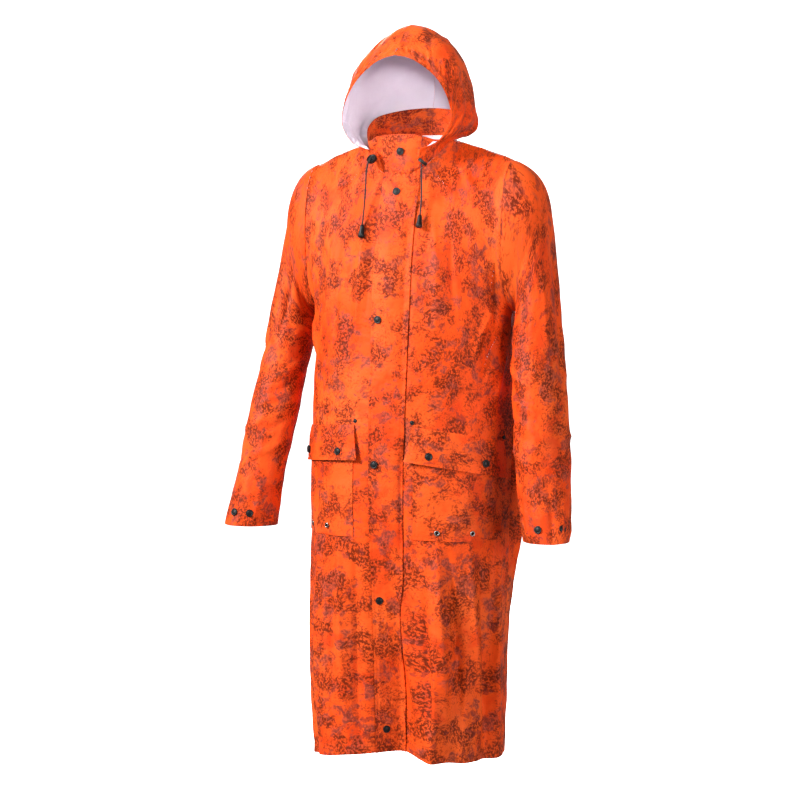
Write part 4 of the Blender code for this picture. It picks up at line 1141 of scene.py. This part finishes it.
def on_front(front, turn, z):
    """The point and normal of a front at a turn and a level."""
    points, out = front
    c = min(max(int(np.searchsorted(front_turns_at, turn)) - 1, 0), len(front_turns_at) - 2)
    u = (turn - front_turns_at[c]) / (front_turns_at[c + 1] - front_turns_at[c])
    level = points[:, c, 2] * (1 - u) + points[:, c + 1, 2] * u
    r = int(np.searchsorted(level, z)) - 1
    v = (z - level[r]) / (level[r + 1] - level[r])

    def mixed(grid):
        low = grid[r, c] * (1 - u) + grid[r, c + 1] * u
        high = grid[r + 1, c] * (1 - u) + grid[r + 1, c + 1] * u
        return low * (1 - v) + high * v

    return mixed(points), unit(mixed(out))


def pocket_point(kind, front, u, v):
    """A point of the outside of a pocket or its flap; u runs across and v up."""
    turns, top, foot, away, _ = POCKETS[kind]
    tilt, slant = 0.0, 0.0
    if kind == "pocket_flap":
        tilt, slant = LID_TILT[int(front[0][0, -1, 0] < 0.0)], LID_SLANT
    low, high = foot[0] + (foot[1] - foot[0]) * u, top[0] + (top[1] - top[0]) * u
    turn = turns[0] + (turns[1] - turns[0]) * u + slant * (1.0 - u) * (1.0 - v)
    place, out = on_front(front, turn, low + (high - low) * v + tilt * u)
    return place + out * away(u, v)


for side, hand in ((1, "left"), (-1, "right")):
    front = (front_fine[side], normals_of(front_fine[side]) * side)
    for kind, place_on_print in (("pocket", 0.5), ("pocket_flap", 0.0)):
        bag = kind == "pocket"
        wide, tall = POCKETS[kind][4]
        us, vs = np.linspace(0.0, 1.0, 65), np.linspace(0.0, 1.0, 61 if bag else 25)
        us = np.unique(np.concatenate([us, (0.008, 0.024, 0.040, 0.960, 0.976, 0.992)]))
        grid = np.array([[pocket_point(kind, front, u, v) for u in us] for v in vs])
        across, up = np.meshgrid(us * wide, vs * tall)
        edge = np.minimum(np.minimum(across, wide - across), up)
        inside = ramp(edge / 0.01)
        out = normals_of(grid) * side
        height = -0.0006 * hump(edge - EDGE_STITCH, 0.0016)
        height += 0.0010 * uneven(across, up, 0.035, 61.0 + side) * inside
        if bag:
            height += creases(across, up, POCKET_CREASES) * inside
        else:
            height += 0.0012 * np.sin(np.pi * across / wide * 3 + side) * (1 - up / tall)
            height += creases(across, up, LID_CREASES)
        grid = grid + out * np.maximum(height, -0.0005)[..., None]
        out = normals_of(grid) * side
        flat = np.stack([across + (22.1 if side == 1 else 24.6) + place_on_print, up + 0.1], -1)
        node = f"{kind}_{hand}"
        piece = cloth_piece(node, grid, out, CLOTH if bag else DOUBLE, flat, [COATED])
        stitches(node, inset_line(grid, out, 1, EDGE_STITCH),
                 inset_line(grid, out, 1, EDGE_STITCH, last=True),
                 inset_line(grid, out, 0, EDGE_STITCH, last=not bag),
                 inset_line(grid, out, 0, 0.010 if bag else EDGE_STITCH))

# ---- snaps, rivets and eyelets -------------------------------------------------------
# Press fasteners with black lacquered brass caps of 15 mm: a turned rim, a shallow
# groove and a slightly raised middle. Rivets are the same cap at 8.4 mm.
def lacquered_brass(name):
    made, tree = new_material(name)
    worn = grain(tree, 900.0)
    rough = add_node(tree, "MapRange", {"Value": worn, "To Min": 0.40, "To Max": 0.55})
    bump = add_node(tree, "Bump", {"Height": worn, "Distance": 0.0001, "Strength": 0.3})
    finish_surface(tree, {"Base Color": blend(tree, worn, "#080809", "#141315"),
                          "Roughness": rough.outputs[0], "Normal": bump.outputs[0],
                          "Specular IOR Level": 0.25})
    return made


def faces_where(obj, test):
    """Selects the faces of the object in edit mode that pass a test."""
    bpy.ops.object.mode_set(mode="OBJECT")
    chosen = {v for face in obj.data.polygons if test(face) for v in face.vertices}
    for face in obj.data.polygons:
        face.select = test(face)
    for edge in obj.data.edges:
        edge.select = False
    for vertex in obj.data.vertices:
        vertex.select = vertex.index in chosen
    bpy.ops.object.mode_set(mode="EDIT")
    bpy.ops.mesh.select_mode(type="FACE")


def sunk(obj, test, rings):
    """Insets the faces that pass a test again and again, by (thickness, depth)."""
    faces_where(obj, test)
    for thickness, depth in rings:
        bpy.ops.mesh.inset(thickness=thickness, depth=depth)
    bpy.ops.object.mode_set(mode="OBJECT")


def rounded(obj, width, segments):
    """Rounds an object's sharp edges and shades it smooth."""
    soften = obj.modifiers.new("rim", "BEVEL")
    soften.width, soften.segments, soften.limit_method = width, segments, "ANGLE"
    ready(obj)
    bpy.ops.object.modifier_apply(modifier=soften.name)
    bpy.ops.object.shade_smooth_by_angle(angle=math.radians(40))


def seated(obj, place, out, name, node):
    """A copy of a finished piece, turned to face out at its place."""
    made = put(name, obj.data.copy())
    turn = Vector(out).normalized().to_track_quat("Z", "Y").to_matrix().to_4x4()
    made.data.transform(Matrix.Translation(Vector(place)) @ turn)
    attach(made, "root")
    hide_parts(node)
    return made


BLACK_CAP = lacquered_brass("black_lacquered_brass")
SNAP_RADIUS, SNAP_HEIGHT, RIVET_RADIUS = 0.0075, 0.0026, 0.0042
bpy.ops.object.select_all(action="DESELECT")
bpy.ops.mesh.primitive_cylinder_add(vertices=40, radius=SNAP_RADIUS, depth=SNAP_HEIGHT, location=(0, 0, 0))
snap_cap = bpy.context.object
sunk(snap_cap, lambda f: f.normal.z > 0.9,
     [(0.0016, 0.0), (0.0007, -0.0006), (0.0005, 0.0004), (0.0020, 0.0004), (0.0016, 0.00015)])
rounded(snap_cap, 0.0005, 3)
snap_cap.data.materials.append(BLACK_CAP)
rivet_cap = bpy.data.objects.new("rivet_cap", snap_cap.data.copy())
smaller = RIVET_RADIUS / SNAP_RADIUS
rivet_cap.data.transform(Matrix.Diagonal((smaller, smaller, 0.7, 1.0)))


def cad_seat(node):
    """Where a small CAD piece sits and the way it faces, from its own points."""
    co = np.array([v.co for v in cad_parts[node].data.vertices])
    middle = co.mean(axis=0)
    out = np.linalg.svd(co - middle)[2][2]
    away = middle - np.array([0.0, 0.02, middle[2]])
    return middle, out * math.copysign(1.0, float(out @ away))


for node in sorted(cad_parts):
    if node.startswith("snap_") or node.startswith("rivet_"):
        middle, out = cad_seat(node)
        if "cuff" in node:
            side = 1 if "left" in node else -1
            out = out * math.copysign(1.0, float(out @ np.array([0.1 * side, -1.0, 0.0])))
        cap = snap_cap if node.startswith("snap_") else rivet_cap
        seated(cap, middle, out, node + "_cap", node)
bpy.data.objects.remove(snap_cap)
bpy.data.objects.remove(rivet_cap)


# Eyelets of rolled, nickel-plated steel, 11 mm across, that let water out of the pockets.
def plated_steel(name):
    made, tree = new_material(name)
    rough = add_node(tree, "MapRange", {"Value": grain(tree, 1200.0), "To Min": 0.22, "To Max": 0.40})
    finish_surface(tree, {"Base Color": hex_colour("#8E8A88"), "Metallic": 1.0,
                          "Roughness": rough.outputs[0]})
    return made


STEEL = plated_steel("nickel_plated_steel")
EYELET_OUT = 0.0009     # how much further out than its solid a ring stands, clear of the cloth
bpy.ops.object.select_all(action="DESELECT")
bpy.ops.mesh.primitive_torus_add(major_radius=0.0042, minor_radius=0.0013, major_segments=36,
                                 minor_segments=12)
eyelet_ring = bpy.context.object
eyelet_ring.data.transform(Matrix.Diagonal((1.0, 1.0, 0.75, 1.0)))
eyelet_ring.data.shade_smooth()
eyelet_ring.data.materials.append(STEEL)

# A near-black disc in the ring's hole: painted shade for the shadowed inside of the shut pocket.
hole_shade, hole_shade_tree = new_material("dark_pocket_inside")
finish_surface(hole_shade_tree, {"Base Color": hex_colour("#1C0D09"), "Roughness": 0.9, "Specular IOR Level": 0.1})
bpy.ops.object.select_all(action="DESELECT")
# the disc of painted shade, sunk in the ring's hole
bpy.ops.mesh.primitive_cylinder_add(radius=0.0033, depth=0.0012, vertices=24)
eyelet_shade_disc = bpy.context.object
eyelet_shade_disc.data.materials.append(hole_shade)
ready(eyelet_ring)
eyelet_shade_disc.select_set(True)
bpy.ops.object.join()
for node in sorted(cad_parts):
    if node.startswith("eyelet_"):
        middle, out = cad_seat(node)
        seated(eyelet_ring, middle + out * EYELET_OUT, out, node + "_ring", node)
bpy.data.objects.remove(eyelet_ring)

# ---- hood cords ----------------------------------------------------------------------
# Round braided polyester cord of 3 mm, one at each side of the face. It comes out of a
# flat moulded stopper on the hood's edge and hangs down to a moulded bell end.
DRAWCORDS = {
    "right": {
        "stopper": (-0.0497, -0.0736, -0.0033),
        "axis": (-0.10, -0.80, 0.59),
        "route": [
            (-0.0502, -0.0774, -0.0004),
            (-0.0518, -0.0852, -0.0104),
            (-0.0533, -0.0885, -0.0210),
            (-0.0560, -0.0885, -0.0560),
            (-0.0585, -0.0900, -0.0950),
            (-0.0604, -0.0945, -0.1310),
        ],
    },
    "left": {
        "stopper": (0.0550, -0.0647, -0.0107),
        "axis": (0.575, 0.256, 0.77),
        "route": [
            (0.0526, -0.0660, -0.0143),
            (0.0541, -0.0685, -0.0290),
            (0.0572, -0.0750, -0.0560),
            (0.0598, -0.0820, -0.0850),
            (0.0604, -0.0895, -0.1130),
        ],
    },
}


def cord_line(points, step):
    """A smooth line through the route's points, with a point at each step."""
    points = np.array(points)
    at = run_along(points)
    places = np.linspace(0.0, at[-1], int(round(at[-1] / step)) + 1)
    return np.array([[smooth(t, at, points[:, k]) for k in range(3)] for t in places])


# Black braided polyester, dull, with slanting strands.
def braided_cord(name):
    made, tree = new_material(name)
    place = add_node(tree, "TexCoord").outputs["Object"]
    strands = add_node(tree, "TexWave", {"Vector": place, "Scale": 190.0, "Distortion": 2.0},
                       bands_direction="DIAGONAL").outputs["Fac"]
    bump = add_node(tree, "Bump", {"Height": strands, "Distance": 0.0003, "Strength": 0.7})
    finish_surface(tree, {"Base Color": blend(tree, strands, "#050506", "#161517"), "Roughness": 0.8,
                          "Normal": bump.outputs[0], "Sheen Weight": 0.15})
    return made


# Moulded black acetal of the stoppers and cord ends, with a fine mould grain.
def moulded_acetal(name):
    made, tree = new_material(name)
    fine = grain(tree, 1500.0)
    rough = add_node(tree, "MapRange", {"Value": fine, "To Min": 0.30, "To Max": 0.46})
    bump = add_node(tree, "Bump", {"Height": fine, "Distance": 0.0001, "Strength": 0.35})
    finish_surface(tree, {"Base Color": hex_colour("#0C0C0D"), "Roughness": rough.outputs[0],
                          "Normal": bump.outputs[0], "Specular IOR Level": 0.25})
    return made


BRAID, ACETAL = braided_cord("braided_polyester"), moulded_acetal("moulded_black_acetal")
CORD_RADIUS, TOGGLE_RADIUS, TOGGLE_THICK, CORD_END_LENGTH = 0.0015, 0.0100, 0.0060, 0.026
bpy.ops.object.select_all(action="DESELECT")
bpy.ops.mesh.primitive_cylinder_add(vertices=48, radius=TOGGLE_RADIUS, depth=TOGGLE_THICK, location=(0, 0, 0))
disc = bpy.context.object
for way in (1, -1):
    sunk(disc, lambda f: f.normal.z * way > 0.9,
         [(0.0022, 0.0), (0.0006, -0.0005), (0.0040, 0.0), (0.0006, -0.0012)])
rounded(disc, 0.0012, 4)
disc.data.materials.append(ACETAL)
# the bell's radius and how far down the cord it is, from its neck to its hollow foot
BELL = [(0.0, 0.0002), (0.0024, SEAM), (0.0036, 0.0016), (0.0042, 0.004), (0.0046, 0.009), (0.0050, 0.014),
        (0.0062, 0.0195), (0.0066, 0.022), (0.0062, 0.0245), (0.0052, CORD_END_LENGTH), (0.0030, 0.0255),
        (0.0, 0.0245)]
BELL_SIDES = 32
for hand, part in DRAWCORDS.items():
    seated(disc, part["stopper"], part["axis"], f"stopper_{hand}_disc", f"stopper_{hand}")
    line = cord_line(part["route"], CORD_RADIUS * 3)
    curve = bpy.data.curves.new(f"drawcord_{hand}_braid", "CURVE")
    curve.dimensions = "3D"
    curve.bevel_depth = CORD_RADIUS
    curve.bevel_resolution = 5
    curve.use_fill_caps = True
    spline = curve.splines.new("POLY")
    spline.points.add(len(line) - 1)
    for point, at in zip(spline.points, line):
        point.co = (*at, 1.0)
    braid = put(f"drawcord_{hand}_braid", curve)
    curve.materials.append(BRAID)
    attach(braid, "root")
    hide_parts(f"drawcord_{hand}")
    down = unit(line[-1] - line[-2])
    points, faces = [], []
    for radius, far in BELL:
        for k in range(BELL_SIDES):
            turn = 2 * math.pi * k / BELL_SIDES
            ridge = 1.0 - 0.05 * (math.cos(turn * 8) > 0.6) * (0.004 < far < 0.022)
            points.append((radius * ridge * math.cos(turn), radius * ridge * math.sin(turn), far))
    for r in range(len(BELL) - 1):
        for k in range(BELL_SIDES):
            this, d = r * BELL_SIDES, (k + 1) % BELL_SIDES
            faces.append((this + k, this + d, this + BELL_SIDES + d, this + BELL_SIDES + k))
    bell = put("bell", mesh_of("bell", points, faces, ACETAL))
    ready(bell)
    bpy.ops.object.mode_set(mode="EDIT")
    bpy.ops.mesh.select_all(action="SELECT")
    bpy.ops.mesh.remove_doubles(threshold=0.00002)
    bpy.ops.mesh.normals_make_consistent(inside=False)
    bpy.ops.object.mode_set(mode="OBJECT")
    bpy.ops.object.shade_smooth_by_angle(angle=math.radians(40))
    end = seated(bell, line[-1], down, f"cord_end_{hand}_bell", f"cord_end_{hand}")
    bpy.data.objects.remove(bell)
bpy.data.objects.remove(disc)
